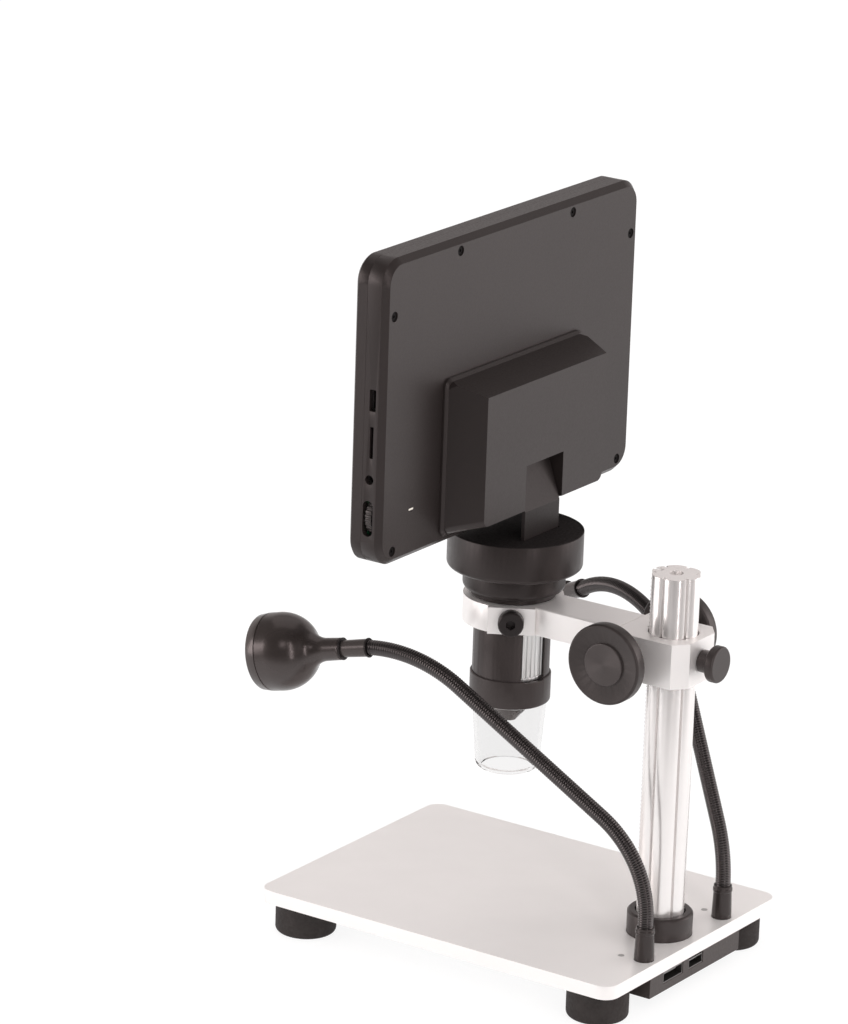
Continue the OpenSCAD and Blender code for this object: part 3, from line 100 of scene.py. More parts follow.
class Finish:
    """A procedural material under construction. Textures are laid out in the row frame, in metres."""

    def __init__(self, name, color, roughness, metallic=0.0, specular=0.5, tint=(1, 1, 1)):
        self.material = bpy.data.materials.new(name)
        self.material.use_nodes = True
        self.tree = self.material.node_tree
        self.nodes = self.tree.nodes
        self.shader = self.nodes["Principled BSDF"]
        self.color = color
        self.plain("Base Color", (*color, 1))
        self.plain("Roughness", roughness)
        self.plain("Metallic", metallic)
        self.plain("Specular IOR Level", specular)
        self.plain("Specular Tint", (*tint, 1))
        self.position = self.nodes.new("ShaderNodeTexCoord").outputs["Object"]

    def plain(self, socket, value):
        self.shader.inputs[socket].default_value = value

    def link(self, output, socket):
        self.tree.links.new(output, socket)

    def math(self, operation, a, b=0.0):
        return math_node(self.tree, operation, a, b)

    def noise(self, size, detail=3.0, stretch=(1, 1, 1), seed=0.0):
        """Noise from 0 to 1 whose blotches are about size across, drawn out by stretch."""
        place = self.nodes.new("ShaderNodeMapping")
        place.inputs["Scale"].default_value = [1 / (size * s) for s in stretch]
        place.inputs["Location"].default_value = (seed, seed, seed)
        self.link(self.position, place.inputs["Vector"])
        texture = self.nodes.new("ShaderNodeTexNoise")
        texture.inputs["Scale"].default_value = 1.0
        texture.inputs["Detail"].default_value = detail
        self.link(place.outputs["Vector"], texture.inputs["Vector"])
        return texture.outputs["Fac"]

    def ramp(self, factor, low, high, low_at=0.3, high_at=0.7):
        """Two numbers or two colours, spread over part of the factor's range."""
        ramp = self.nodes.new("ShaderNodeMapRange")
        ramp.inputs["From Min"].default_value = low_at
        ramp.inputs["From Max"].default_value = high_at
        self.link(factor, ramp.inputs["Value"])
        if isinstance(low, (int, float)):
            ramp.inputs["To Min"].default_value = low
            ramp.inputs["To Max"].default_value = high
            return ramp.outputs["Result"]
        mix = self.nodes.new("ShaderNodeMix")
        mix.data_type = "RGBA"
        mix.inputs["A"].default_value = (*low, 1)
        mix.inputs["B"].default_value = (*high, 1)
        self.link(ramp.outputs["Result"], mix.inputs["Factor"])
        return mix.outputs["Result"]

    def mottle(self, size, spread):
        """Lets the base colour drift by a share of itself."""
        dark = [c * (1 - spread) for c in self.color]
        light = [min(c * (1 + spread), 1) for c in self.color]
        self.link(self.ramp(self.noise(size), dark, light), self.shader.inputs["Base Color"])

    def uneven_gloss(self, size, low, high, stretch=(1, 1, 1)):
        """Lets the roughness drift from low to high."""
        drift = self.ramp(self.noise(size, detail=4.0, stretch=stretch, seed=3.0), low, high)
        self.link(drift, self.shader.inputs["Roughness"])

    def bump(self, height_field, height, strength=1.0):
        node = self.nodes.new("ShaderNodeBump")
        node.inputs["Distance"].default_value = height
        node.inputs["Strength"].default_value = strength
        self.link(height_field, node.inputs["Height"])
        self.link(node.outputs["Normal"], self.shader.inputs["Normal"])

    def along(self, origin, axis):
        """Distance from origin along an axis, as a texture value."""
        offset = self.nodes.new("ShaderNodeVectorMath")
        offset.operation = "SUBTRACT"
        offset.inputs[1].default_value = origin
        self.link(self.position, offset.inputs[0])
        return part_along(self.tree, offset.outputs[0], axis)


# Tint of the black pieces' shine
WARM_SHINE = (1.0, 0.90, 0.895)


def blasted_metal(name, color, roughness, metallic=1.0):
    """Bead-blasted and clear anodised metal: even and satin. A thick frosty skin is less metallic."""
    finish = Finish(name, color, roughness, metallic)
    finish.mottle(size=22 * MM, spread=0.018)
    finish.uneven_gloss(size=0.6 * MM, low=roughness - 0.05, high=roughness + 0.06)
    finish.bump(finish.noise(size=0.25 * MM, detail=2.0), height=0.004 * MM)
    return finish.material


def drawn_metal(name, color, roughness, lines=0.25, metallic=1.0):
    """Metal drawn through a die: fine lines along Z, whose depth is a share."""
    finish = Finish(name, color, roughness, metallic)
    finish.mottle(size=14 * MM, spread=0.015)
    line_w = 0.3 * MM
    along_z = (1, 1, 220)
    finish.uneven_gloss(line_w, roughness - 0.02, roughness + 0.02, along_z)
    finish.bump(finish.noise(line_w, detail=3.0, stretch=along_z), height=0.015 * MM, strength=lines)
    return finish.material


def moulded_plastic(name, color, roughness, grain, height, specular=0.5):
    """Plastic moulded in a spark-eroded tool: a fine even grain and slow changes of tone."""
    finish = Finish(name, color, roughness, specular=specular, tint=WARM_SHINE)
    finish.mottle(size=30 * MM, spread=0.05)
    finish.uneven_gloss(2.5 * grain, 0.86 * roughness, 1.16 * roughness)
    finish.bump(finish.noise(grain, detail=2.0), height)
    return finish.material


def knob_material(name, ring_color, disc_color, disc_radius):
    """Black anodised knob: fine turning marks round its shaft, and a lighter disc in the middle."""
    mark_pitch = 0.35 * MM
    finish = Finish(name, ring_color, roughness=0.36, tint=WARM_SHINE)
    finish.plain("Anisotropic", 0.75)
    tangent = finish.nodes.new("ShaderNodeTangent")
    tangent.direction_type = "RADIAL"
    tangent.axis = "X"
    finish.link(tangent.outputs["Tangent"], finish.shader.inputs["Tangent"])
    shaft = joint_place["pinion_spin"]
    height = finish.along(shaft, (0, 0, 1))
    depth = finish.along(shaft, (0, 1, 0))
    radius = finish.math("SQRT", finish.math("ADD", finish.math("MULTIPLY", height, height),
                                             finish.math("MULTIPLY", depth, depth)))
    drift = finish.ramp(finish.noise(size=12 * MM, seed=5.0), 0.93, 1.07)
    ring = finish.ramp(radius, disc_color, ring_color, disc_radius - 0.2 * MM, disc_radius + 0.1 * MM)
    tone = finish.nodes.new("ShaderNodeVectorMath")
    tone.operation = "SCALE"
    finish.link(ring, tone.inputs[0])
    finish.link(drift, tone.inputs["Scale"])
    finish.link(tone.outputs["Vector"], finish.shader.inputs["Base Color"])
    finish.uneven_gloss(size=4 * MM, low=0.32, high=0.40)
    marks = finish.math("SINE", finish.math("MULTIPLY", radius, 2 * math.pi / mark_pitch))
    finish.bump(marks, height=0.004 * MM, strength=0.5)
    return finish.material


def rubber_material(name, color):
    """Dull rubber with an open grain."""
    finish = Finish(name, color, roughness=0.78, specular=0.35)
    finish.mottle(size=6 * MM, spread=0.12)
    finish.uneven_gloss(size=1.2 * MM, low=0.68, high=0.86)
    finish.bump(finish.noise(size=0.5 * MM, detail=5.0), height=0.05 * MM, strength=0.8)
    return finish.material


def clear_plastic_material(name, color, bend, roughness=0.02):
    """Clear plastic that bends light by its index of refraction. Handling leaves it slightly uneven."""
    finish = Finish(name, color, roughness)
    finish.plain("Transmission Weight", 1.0)
    finish.plain("IOR", bend)
    finish.mottle(size=20 * MM, spread=0.004)
    finish.uneven_gloss(size=12 * MM, low=roughness, high=roughness + 0.03)
    return finish.material


def circuit_material(name, mask, trace):
    """Solder mask over a net of traces."""
    trace_pitch = 2.2 * MM
    finish = Finish(name, mask, roughness=0.4)
    voronoi = finish.nodes.new("ShaderNodeTexVoronoi")
    voronoi.distance = "CHEBYCHEV"
    voronoi.feature = "F2"
    voronoi.inputs["Scale"].default_value = 1 / trace_pitch
    finish.link(finish.position, voronoi.inputs["Vector"])
    colour = finish.ramp(voronoi.outputs["Distance"], trace, mask, low_at=0.55, high_at=0.7)
    finish.link(colour, finish.shader.inputs["Base Color"])
    finish.bump(voronoi.outputs["Distance"], height=0.03 * MM, strength=0.5)
    return finish.material


# The base colour comes first, then the roughness. A moulded plastic goes on with the size and height
# of its grain and its specular level
materials = {
    "plate": blasted_metal("blasted_plate", (0.97, 0.955, 0.945), 0.36, metallic=0.4),
    "arm": blasted_metal("machined_arm", (0.95, 0.93, 0.92), 0.36, metallic=0.58),
    "column": drawn_metal("drawn_column", (0.95, 0.925, 0.915), 0.24, 0.04, metallic=0.7),
    "wheel": drawn_metal("turned_wheel", (0.86, 0.855, 0.85), 0.36),
    "steel": blasted_metal("plated_steel", (0.58, 0.575, 0.57), 0.34),
    "dark_steel": blasted_metal("dark_steel", (0.26, 0.25, 0.245), 0.38),
    "lens_metal": blasted_metal("lens_metal", (0.16, 0.15, 0.147), 0.38),
    "brass": blasted_metal("turned_brass", (0.72, 0.55, 0.28), 0.34),
    "black_metal": moulded_plastic("black_anodised", (0.032, 0.027, 0.026), 0.34, 0.2 * MM, 0.008 * MM),
    "knob": knob_material("knob_black", ring_color=(0.027, 0.023, 0.022), disc_color=(0.046, 0.040, 0.039),
                          disc_radius=8.25 * MM),
    "socket": moulded_plastic("socket_black", (0.024, 0.020, 0.019), 0.22, 0.8 * MM, 0.002 * MM),
    # Partly painted shade: the housing screws are black, and are made near-black and dull besides so that
    # they stand for the shade in their deep recesses.
    "screw": moulded_plastic("screw_black_recess_shade", (0.004, 0.0035, 0.0035), 0.5, 0.3 * MM, 0.008 * MM, 0.08),
    "clamp": moulded_plastic("clamp_black", (0.013, 0.011, 0.011), 0.36, 0.25 * MM, 0.008 * MM, 0.4),
    "tube": moulded_plastic("tube_black", (0.034, 0.028, 0.027), 0.38, 0.25 * MM, 0.01 * MM),
    "case": moulded_plastic("case_black", (0.019, 0.0152, 0.0145), 0.36, 0.35 * MM, 0.03 * MM, 0.45),
    "supply": moulded_plastic("supply_black", (0.044, 0.037, 0.035), 0.42, 0.35 * MM, 0.03 * MM),
    # Painted shade: the swivel cap's top gets a darker black than the disc's sides, for the dark space above
    # it.
    "shaded_disc_top": moulded_plastic("disc_top_black", (0.014, 0.012, 0.012), 0.6, 0.35 * MM, 0.03 * MM, 0.2),
    "bracket": moulded_plastic("bracket_black", (0.018, 0.015, 0.0145), 0.42, 0.3 * MM, 0.015 * MM, 0.27),
    "lamp": moulded_plastic("lamp_black", (0.026, 0.021, 0.0195), 0.23, 0.5 * MM, 0.003 * MM, 0.8),
    "sleeve": moulded_plastic("sleeve_grey", (0.046, 0.040, 0.038), 0.22, 0.4 * MM, 0.004 * MM),
    "ring": moulded_plastic("ring_black", (0.014, 0.012, 0.012), 0.4, 0.4 * MM, 0.006 * MM, 0.3),
    "inner": moulded_plastic("inner_black", (0.020, 0.019, 0.019), 0.7, 0.4 * MM, 0.03 * MM, 0.3),
    "key": moulded_plastic("key_black", (0.035, 0.032, 0.031), 0.33, 0.3 * MM, 0.006 * MM),
    "rubber": rubber_material("foot_rubber", (0.030, 0.025, 0.024)),
    "circuit": circuit_material("solder_mask", (0.012, 0.10, 0.045), (0.03, 0.20, 0.09)),
    "clear": clear_plastic_material("clear_acrylic", (0.935, 0.935, 0.935), 1.16),
    "diffuser": clear_plastic_material("lamp_pane", (0.93, 0.94, 0.95), 1.3, 0.22),
    "cell": moulded_plastic("cell_wrap", (0.03, 0.10, 0.30), 0.3, 0.8 * MM, 0.01 * MM),
    "led": moulded_plastic("led_white", (0.80, 0.78, 0.70), 0.4, 0.6 * MM, 0.01 * MM),
    "mirror": drawn_metal("reflector", (0.90, 0.90, 0.91), 0.12),
}


def disc_material():
    """Satin sides under a dull top, whose colour is painted darker as shade from the dark space above."""
    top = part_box("swivel_disc")[1]
    # Heights, counted from the top, between which one finish gives way to the other
    edge = {"low_at": -0.25 * MM, "high_at": -0.05 * MM}
    finish = Finish("disc_black_shaded_top", (0.020, 0.016, 0.0153), roughness=0.32, specular=0.45, tint=WARM_SHINE)
    height = finish.along(top, (0, 0, 1))
    # Painted shade: the top is coloured darker than the sides, for the dark space above it.
    colour = finish.ramp(height, finish.color, (0.012, 0.010, 0.010), **edge)
    finish.link(colour, finish.shader.inputs["Base Color"])
    worn = finish.ramp(finish.noise(size=2.5 * MM, detail=4.0, seed=2.0), 0.29, 0.39)
    dull = finish.ramp(height, 0.0, 0.3, **edge)
    finish.link(finish.math("ADD", worn, dull), finish.shader.inputs["Roughness"])
    finish.bump(finish.noise(size=0.2 * MM, detail=2.0), height=0.008 * MM)
    return finish.material


def hose_material():
    """Glossy cover, handled unevenly. Its ribs are in the mesh."""
    finish = Finish("hose_black", (0.008, 0.007, 0.007), roughness=0.14, specular=0.8, tint=WARM_SHINE)
    finish.mottle(size=5 * MM, spread=0.15)
    finish.uneven_gloss(size=2.5 * MM, low=0.12, high=0.17)
    finish.bump(finish.noise(size=1.4 * MM, detail=2.0), height=0.002 * MM, strength=0.2)
    return finish.material


def screen_material():
    """Gloss glass over a dark picture area inside a black border."""
    border = 2.6 * MM
    # The panel reaches this far under the bezel
    cover_x, cover_z = 4 * MM, 5.25 * MM
    low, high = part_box("lcd_panel")
    centre = (low + high) / 2
    half = (high - low) / 2
    finish = Finish("screen_glass", (0.012, 0.013, 0.016), roughness=0.07)
    finish.plain("Coat Weight", 0.4)
    finish.plain("Coat Roughness", 0.04)
    across = finish.math("ABSOLUTE", finish.along(centre, (1, 0, 0)))
    upright = finish.math("ABSOLUTE", finish.along(centre, (0, 0, 1)))
    outside = finish.math(
        "MAXIMUM",
        finish.math("GREATER_THAN", across, (half.x - cover_x) - border),
        finish.math("GREATER_THAN", upright, (half.z - cover_z) - border),
    )
    colour = finish.ramp(outside, (0.020, 0.022, 0.027), (0.004, 0.004, 0.005), low_at=0.0, high_at=1.0)
    finish.link(colour, finish.shader.inputs["Base Color"])
    smear = finish.ramp(finish.noise(size=35 * MM, detail=2.0, seed=7.0), 0.05, 0.11)
    finish.link(smear, finish.shader.inputs["Roughness"])
    return finish.material


materials["hose"] = hose_material()
materials["disc"] = disc_material()
materials["screen"] = screen_material()

LOOK_OF_NODES = {
    "plate": ["base_plate"],
    "column": ["column"],
    "arm": ["arm_bracket"],
    "wheel": ["focus_wheel"],
    "steel": ["foot_screws", "supply_screws", "column_bolt", "gear_rack", "pinion_shaft", "swivel_retainer",
              "bracket_screws", "hinge_pin"],
    "lens_metal": ["lens_cone"],
    "dark_steel": ["supply_sockets", "power_port", "card_slot"],
    "brass": ["shaft_bushes"],
    "black_metal": ["column_flange", "lock_screw"],
    "disc": ["swivel_disc"],
    "clamp": ["clamp_screw"],
    "knob": ["knob_right", "knob_left"],
    "socket": ["gooseneck_sockets"],
    "screw": ["housing_screws"],
    "tube": ["tube_housing"],
    "case": ["rear_housing", "front_bezel", "head_base"],
    "supply": ["supply_case"],
    "shaded_disc_top": ["swivel_cap"],
    "bracket": ["hinge_bracket"],
    "inner": ["lens_guide", "lens_carriage", "remote_jack"],
    "key": ["key_1", "key_2", "key_3", "key_4", "key_5", "dimmer_wheel"],
    "rubber": ["rubber_feet"],
    "circuit": ["supply_board", "main_board", "sensor_board"],
    "clear": ["clear_cap", "objective_lens"],
    "diffuser": ["right_lamp_lens", "left_lamp_lens"],
    "screen": ["lcd_panel"],
    "led": ["led_board", "right_lamp_led", "left_lamp_led"],
    "cell": ["battery"],
}

for look, names in LOOK_OF_NODES.items():
    for name in names:
        for slot in nodes[name].material_slots:
            slot.material = materials[look]


# ---- Softened edges of the CAD pieces ----

# Width of the rounded edges
EDGE_WIDTH = {
    0.6 * MM: ["rear_housing"],
    0.35 * MM: ["base_plate", "front_bezel", "supply_case", "arm_bracket", "tube_housing"],
    0.22 * MM: ["swivel_disc", "head_base", "hinge_bracket", "knob_right", "knob_left", "lock_screw",
                "clamp_screw", "column_flange", "rubber_feet", "key_1", "key_2", "key_3", "key_4", "key_5"],
    0.12 * MM: ["column", "swivel_cap", "gooseneck_sockets", "dimmer_wheel", "focus_wheel"],
}
# Faces that meet at more than SHARP have an edge between them. At less than FLAT they are one face
SHARP = math.radians(32)
FLAT = math.radians(0.4)


def soften(name, width):
    """Rounds the sharp edges of a CAD piece by modifiers: its own mesh stays as imported."""
    piece = nodes[name]
    weld = piece.modifiers.new("weld", "WELD")
    weld.merge_threshold = 0.001 * MM
    flat = piece.modifiers.new("flat", "DECIMATE")
    flat.decimate_type = "DISSOLVE"
    flat.angle_limit = FLAT
    bevel = piece.modifiers.new("edges", "BEVEL")
    bevel.width = width
    bevel.segments = 3
    bevel.limit_method = "ANGLE"
    bevel.angle_limit = SHARP
    bevel.use_clamp_overlap = True
    bevel.harden_normals = True


for width, names in EDGE_WIDTH.items():
    for name in names:
        soften(name, width)


# ---- Meshes made here ----


def new_piece(name, mesh_maker, look, body):
    """An object made by mesh_maker(bmesh), with a finish, riding on a body."""
    made = bmesh.new()
    mesh_maker(made)
    bmesh.ops.recalc_face_normals(made, faces=made.faces)
    for face in made.faces:
        face.smooth = True
    for edge in made.edges:
        edge.smooth = len(edge.link_faces) != 2 or edge.calc_face_angle() < SHARP
    mesh = bpy.data.meshes.new(name)
    made.to_mesh(mesh)
    made.free()
    mesh.materials.append(materials[look])
    piece = bpy.data.objects.new(name, mesh)
    bpy.context.scene.collection.objects.link(piece)
    if body:
        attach(piece, body)
    return piece


def rings_to_mesh(made, rings, closed=False):
    """Joins rings of points into a tube. Its ends are capped, or joined to each other."""
    grid = [[made.verts.new(p) for p in ring] for ring in rings]
    count = len(rings[0])
    pairs = list(zip(grid, grid[1:]))
    if closed:
        pairs.append((grid[-1], grid[0]))
    for a, b in pairs:
        for i in range(count):
            k = (i + 1) % count
            made.faces.new((a[i], a[k], b[k], b[i]))
    if not closed:
        made.faces.new(grid[0])
        made.faces.new(list(reversed(grid[-1])))


def lathe(name, profile, origin, axis, look, body, segments):
    """Turned piece from a closed outline of (radius, distance along the axis) points."""
    turn = Vector((0, 0, 1)).rotation_difference(Vector(axis)).to_matrix()
    angles = [2 * math.pi * i / segments for i in range(segments)]

    def make(made):
        rings = [
            [Vector(origin) + turn @ Vector((r * math.cos(a), r * math.sin(a), z)) for a in angles]
            for r, z in profile
        ]
        rings_to_mesh(made, rings, closed=True)

    return new_piece(name, make, look, body)


def arc(along, out, radius, start, end, steps):
    """Part of a lathe's outline: an arc about the point (out, along), by angles counted from the axis."""
    angles = [math.radians(start + (end - start) * i / steps) for i in range(steps + 1)]
    return [(out + radius * math.sin(a), along + radius * math.cos(a)) for a in angles]


# ---- Goosenecks ----

HOSE_R = 2.95 * MM
HOSE_PITCH = 0.95 * MM
HOSE_GROOVE = 0.17 * MM
# A higher power makes the groove narrower
GROOVE_POWER = 1.4
# Where the hose starts in its socket, and how far it goes on into its lamp
HOSE_SEAT = 4.2 * MM
HOSE_TAIL = 1.2 * MM
STEPS_PER_TURN = 8
HOSE_STEP = HOSE_PITCH / STEPS_PER_TURN
HOSE_SIDES = 36
# Reach on each side of the hose's middle joint, and before its lamp
BEND_REACH = 13 * MM
LAMP_REACH = 9 * MM
# Where the two lengths of one hose meet, past that reach beyond the middle joint
MEET = 3 * MM

# Azimuth of the neck's plane, straight rise, (radius, angle) of both bends, straight run between them, and
# the lamp's slope below level
NECKS = {
    "right": {"turn": -83.2, "rise": 15.9 * MM, "bends": ((43.5 * MM, 57.3), (55.7 * MM, 39.7)),
              "run": 73.0 * MM, "dip": 12.8},
    "left": {"turn": -113.7, "rise": 13.9 * MM, "bends": ((49.4 * MM, 27.9), (53.2 * MM, 92.6)),
             "run": 48.6 * MM, "dip": 23.0},
}


class HosePath:
    """Centreline of one gooseneck: up from its socket, a bend, a straight run and a second bend."""

    def __init__(self, side):
        neck = NECKS[side]
        self.base = joint_place[side + "_hose_swing"].copy()
        self.base.z = 0
        turn = math.radians(neck["turn"])
        self.out = Vector((math.cos(turn), math.sin(turn), 0))
        self.side = Vector((-self.out.y, self.out.x, 0))
        (r1, a1), (r2, a2) = neck["bends"]
        a1, a2 = math.radians(a1), math.radians(a2)
        self.pieces = [(neck["rise"], 0.0), (r1 * a1, 1 / r1), (neck["run"], 0.0), (r2 * a2, 1 / r2)]
        self.pivot_at = neck["rise"] + r1 * a1 + neck["run"] / 2
        self.length = sum(p[0] for p in self.pieces)
        dip = math.radians(neck["dip"])
        self.lamp_axis = self.out * math.cos(dip) - Vector((0, 0, math.sin(dip)))

    def at(self, s):
        """Point and heading at arc length s. Past the end it goes straight on along the lamp's axis."""
        x = z = heading = 0.0
        left = s
        for length, curve in self.pieces:
            step = min(left, length)
            if curve:
                x += (math.cos(heading) - math.cos(heading + step * curve)) / curve
                z += (math.sin(heading + step * curve) - math.sin(heading)) / curve
                heading += step * curve
            else:
                x += step * math.sin(heading)
                z += step * math.cos(heading)
            left -= step
            if left <= 0:
                break
        point = self.base + self.out * x + Vector((0, 0, z))
        forward = self.out * math.sin(heading) + Vector((0, 0, math.cos(heading)))
        if left > 0:
            forward = self.lamp_axis
            point += forward * left
        return point, forward


def groove_depth(turns):
    """Depth of the spiral groove, where turns counts round the hose and along it."""
    wall = 0.5 - 0.5 * math.cos(2 * math.pi * (turns % 1.0))
    return HOSE_GROOVE * (1 - wall) ** GROOVE_POWER


def hose_length(name, path, start, end):
    """Length of spiral-wound hose between two distances along its path."""
    count = round((end - start) / HOSE_STEP)

    def make(made):
        rings = []
        for k in range(count + 1):
            s = start + k * HOSE_STEP
            point, forward = path.at(s)
            up = path.side.cross(forward).normalized()
            ring = []
            for i in range(HOSE_SIDES):
                a = 2 * math.pi * i / HOSE_SIDES
                radius = HOSE_R - groove_depth(s / HOSE_PITCH + i / HOSE_SIDES)
                ring.append(point + (path.side * math.cos(a) + up * math.sin(a)) * radius)
            rings.append(ring)
        rings_to_mesh(made, rings)

    piece = new_piece(name, make, "hose", None)
    for edge in piece.data.edges:
        edge.use_edge_sharp = False
    return piece


def gooseneck(side):
    """Both lengths of one hose, which meet past its middle joint. Returns its path."""
    path = HosePath(side)
    meet_at = path.pivot_at + BEND_REACH + MEET
    meet_at = HOSE_SEAT + round((meet_at - HOSE_SEAT) / HOSE_STEP) * HOSE_STEP
    lower = hose_length(side + "_hose_near", path, HOSE_SEAT, meet_at)
    path.at(path.pivot_at - BEND_REACH)[0]
    path.at(path.pivot_at + BEND_REACH)[0]
    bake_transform(lower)
    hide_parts(side + "_hose_lower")
    upper = hose_length(side + "_hose_far", path, meet_at, path.length + HOSE_TAIL)
    path.at(path.length - LAMP_REACH)[0]
    path.at(path.length)[0]
    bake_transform(upper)
    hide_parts(side + "_hose_upper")
    return path


# ---- Lamps ----

# Places along a lamp are counted from the end of its hose
LAMP_L = 47.3 * MM
SLEEVE = (0.9 * MM, 12.1 * MM)
SLEEVE_R = HOSE_R + 0.5 * MM
SLEEVE_BORE = 3.15 * MM
# The sleeve's far end and the ring after it sit closer on the hose
SNUG_BORE = SLEEVE_BORE - 0.3 * MM
COLLAR_R = SLEEVE_R + 0.3 * MM
COLLAR_L = 0.7 * MM
COLLAR_EDGE = 0.15 * MM
NECK_R = 4.4 * MM
RING_R = NECK_R - 0.1 * MM
RING_L = 0.9 * MM
BULB_R = 15 * MM
BULB_CENTRE = LAMP_L - 8.2 * MM
BULB_FILLET = 9 * MM
SEAM = LAMP_L - 4.3 * MM
SEAM_R = BULB_R - 0.4 * MM
MOUTH_R = 14.1 * MM
# Bore round the front pane, and the pane's own seat behind it
PANE_R = MOUTH_R - 1.1 * MM
PANE_SEAT = LAMP_L - 2.8 * MM
PANE_LEDGE_R = MOUTH_R - 2.3 * MM
LED_SEAT = BULB_CENTRE - 7 * MM
LED_SEAT_R = 9 * MM
LEAD_R = 1.2 * MM
DISH_WALL = 0.25 * MM
RING_SIDES, DISH_SIDES, BULB_SIDES = 64, 96, 128


def lamp(side, path):
    """One lamp's sleeve, rings, round shell and bright dish."""
    origin, axis = path.at(path.length)[0], path.lamp_axis

    def turned(name, profile, look, segments):
        return lathe(f"{side}_{name}", profile, origin, axis, look, side + "_lamp", segments)

    start, end = SLEEVE
    collar_end, ring_end = start + COLLAR_L, end + RING_L
    turned("sleeve_collar", [
        (SLEEVE_BORE, start), (COLLAR_R - COLLAR_EDGE, start), (COLLAR_R, start + COLLAR_EDGE),
        (COLLAR_R, collar_end - COLLAR_EDGE), (COLLAR_R - COLLAR_EDGE, collar_end), (SLEEVE_BORE, collar_end),
    ], "ring", RING_SIDES)
    turned("sleeve", [
        (SNUG_BORE, collar_end), (SLEEVE_R, collar_end), (SLEEVE_R - 0.2 * MM, end), (SNUG_BORE, end),
    ], "sleeve", RING_SIDES)
    turned("neck_ring", [
        (SNUG_BORE, end), (RING_R - 0.2 * MM, end), (RING_R, end + 0.2 * MM),
        (RING_R, ring_end - 0.3 * MM), (RING_R - 0.3 * MM, ring_end), (SNUG_BORE, ring_end),
    ], "ring", RING_SIDES)
    # The round back runs into the neck over a fillet
    lift = math.sqrt((BULB_R + BULB_FILLET) ** 2 - (NECK_R + BULB_FILLET) ** 2)
    meet = math.degrees(math.atan2(NECK_R + BULB_FILLET, -lift))
    outside = [
        (NECK_R - 0.5 * MM, ring_end), (NECK_R - 0.15 * MM, ring_end + 0.4 * MM),
        *arc(BULB_CENTRE - lift, NECK_R + BULB_FILLET, BULB_FILLET, -90, meet - 180, 14),
        *arc(BULB_CENTRE, 0, BULB_R, meet, 90, 40),
        (BULB_R - 0.05 * MM, SEAM - 0.2 * MM), (SEAM_R, SEAM), (SEAM_R, SEAM + 0.3 * MM),
        (BULB_R - 0.1 * MM, SEAM + 0.5 * MM), (MOUTH_R + 0.35 * MM, LAMP_L - 0.5 * MM), (MOUTH_R, LAMP_L),
        (MOUTH_R - 0.6 * MM, LAMP_L),
    ]
    inside = [
        (PANE_R, LAMP_L - 0.6 * MM), (PANE_R, PANE_SEAT), (PANE_LEDGE_R, PANE_SEAT),
        (PANE_LEDGE_R, PANE_SEAT - 0.2 * MM), (BULB_R - 2.3 * MM, LED_SEAT + 4 * MM),
        (LED_SEAT_R, LED_SEAT), (LEAD_R, LED_SEAT), (LEAD_R, ring_end),
    ]
    shell = turned("lamp_body", outside + inside, "lamp", BULB_SIDES)
    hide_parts(side + "_lamp_shell")
    # Bright dish behind the front pane
    dish = [
        (LED_SEAT_R - 0.1 * MM, LED_SEAT + 0.1 * MM), (12.4 * MM, LED_SEAT + 4.2 * MM),
        (11.6 * MM, PANE_SEAT - 0.25 * MM),
    ]
    inner_dish = [(r - DISH_WALL, z) for r, z in reversed(dish)]
    turned("lamp_dish", dish + inner_dish, "mirror", DISH_SIDES)


for side in NECKS:
    lamp(side, gooseneck(side))


# ---- Charge window in the rear of the case ----

REAR_FACE_Y = -4.2 * MM
WINDOW_DEPTH = 0.4 * MM
WINDOW_X, WINDOW_Z = 64.7 * MM, 167.1 * MM


def bar_in_case(name, x, z, width, height, stands_out, look):
    """Bar with rounded edges, sunk in the case's rear face, past which it stands out a little."""
    y0, y1 = REAR_FACE_Y - WINDOW_DEPTH, REAR_FACE_Y + stands_out

    def make(made):
        corners = bmesh.ops.create_cube(made, size=1.0)["verts"]
        for v in corners:
            v.co = Vector((x + v.co.x * width, (y0 + y1) / 2 + v.co.y * (y1 - y0), z + v.co.z * height))
        edges = list({e for v in corners for e in v.link_edges})
        bmesh.ops.bevel(made, geom=edges, offset=height * 0.2, segments=3, affect="EDGES")

    new_piece(name, make, look, "screen")


bar_in_case("charge_window", WINDOW_X, WINDOW_Z, 3.2 * MM, 1.1 * MM, 0.06 * MM, "led")
bar_in_case("charge_window_notch", WINDOW_X - 0.3 * MM, WINDOW_Z - 0.85 * MM, 1.2 * MM, 0.7 * MM, 0.03 * MM,
            "inner")


# ---- Studio ----


def light_path_mask(tree, kinds):
    """1 for rays of the named kinds, otherwise 0."""
    rays = tree.nodes.new("ShaderNodeLightPath")
    total = rays.outputs[kinds[0]]
    for kind in kinds[1:]:
        total = math_node(tree, "MAXIMUM", total, rays.outputs[kind])
    return total


GLOSSY_RAYS = ("Is Glossy Ray",)
SEEN_RAYS = ("Is Camera Ray", "Is Glossy Ray", "Is Transmission Ray")
WARM_WHITE = (1.0, 0.965, 0.955)
MIRRORED_WHITE = (0.82, 0.765, 0.75)
LAMP_WHITE = (1.0, 0.925, 0.915)
FILL = 0.88
# Reflections are darker towards these directions. Each falls off over a span of the cosine, down to a level
CAMERA_SIDE = (0.83, 0.56, 0)
DARKER = [
    {"direction": (0, 0, 1), "span": (0.35, 0.65), "level": 0.2},
    {"direction": CAMERA_SIDE, "span": (0.1, 0.85), "level": 0.12},
    {"direction": (-0.83, -0.56, 0), "span": (0.5, 0.95), "level": 0.8},
]


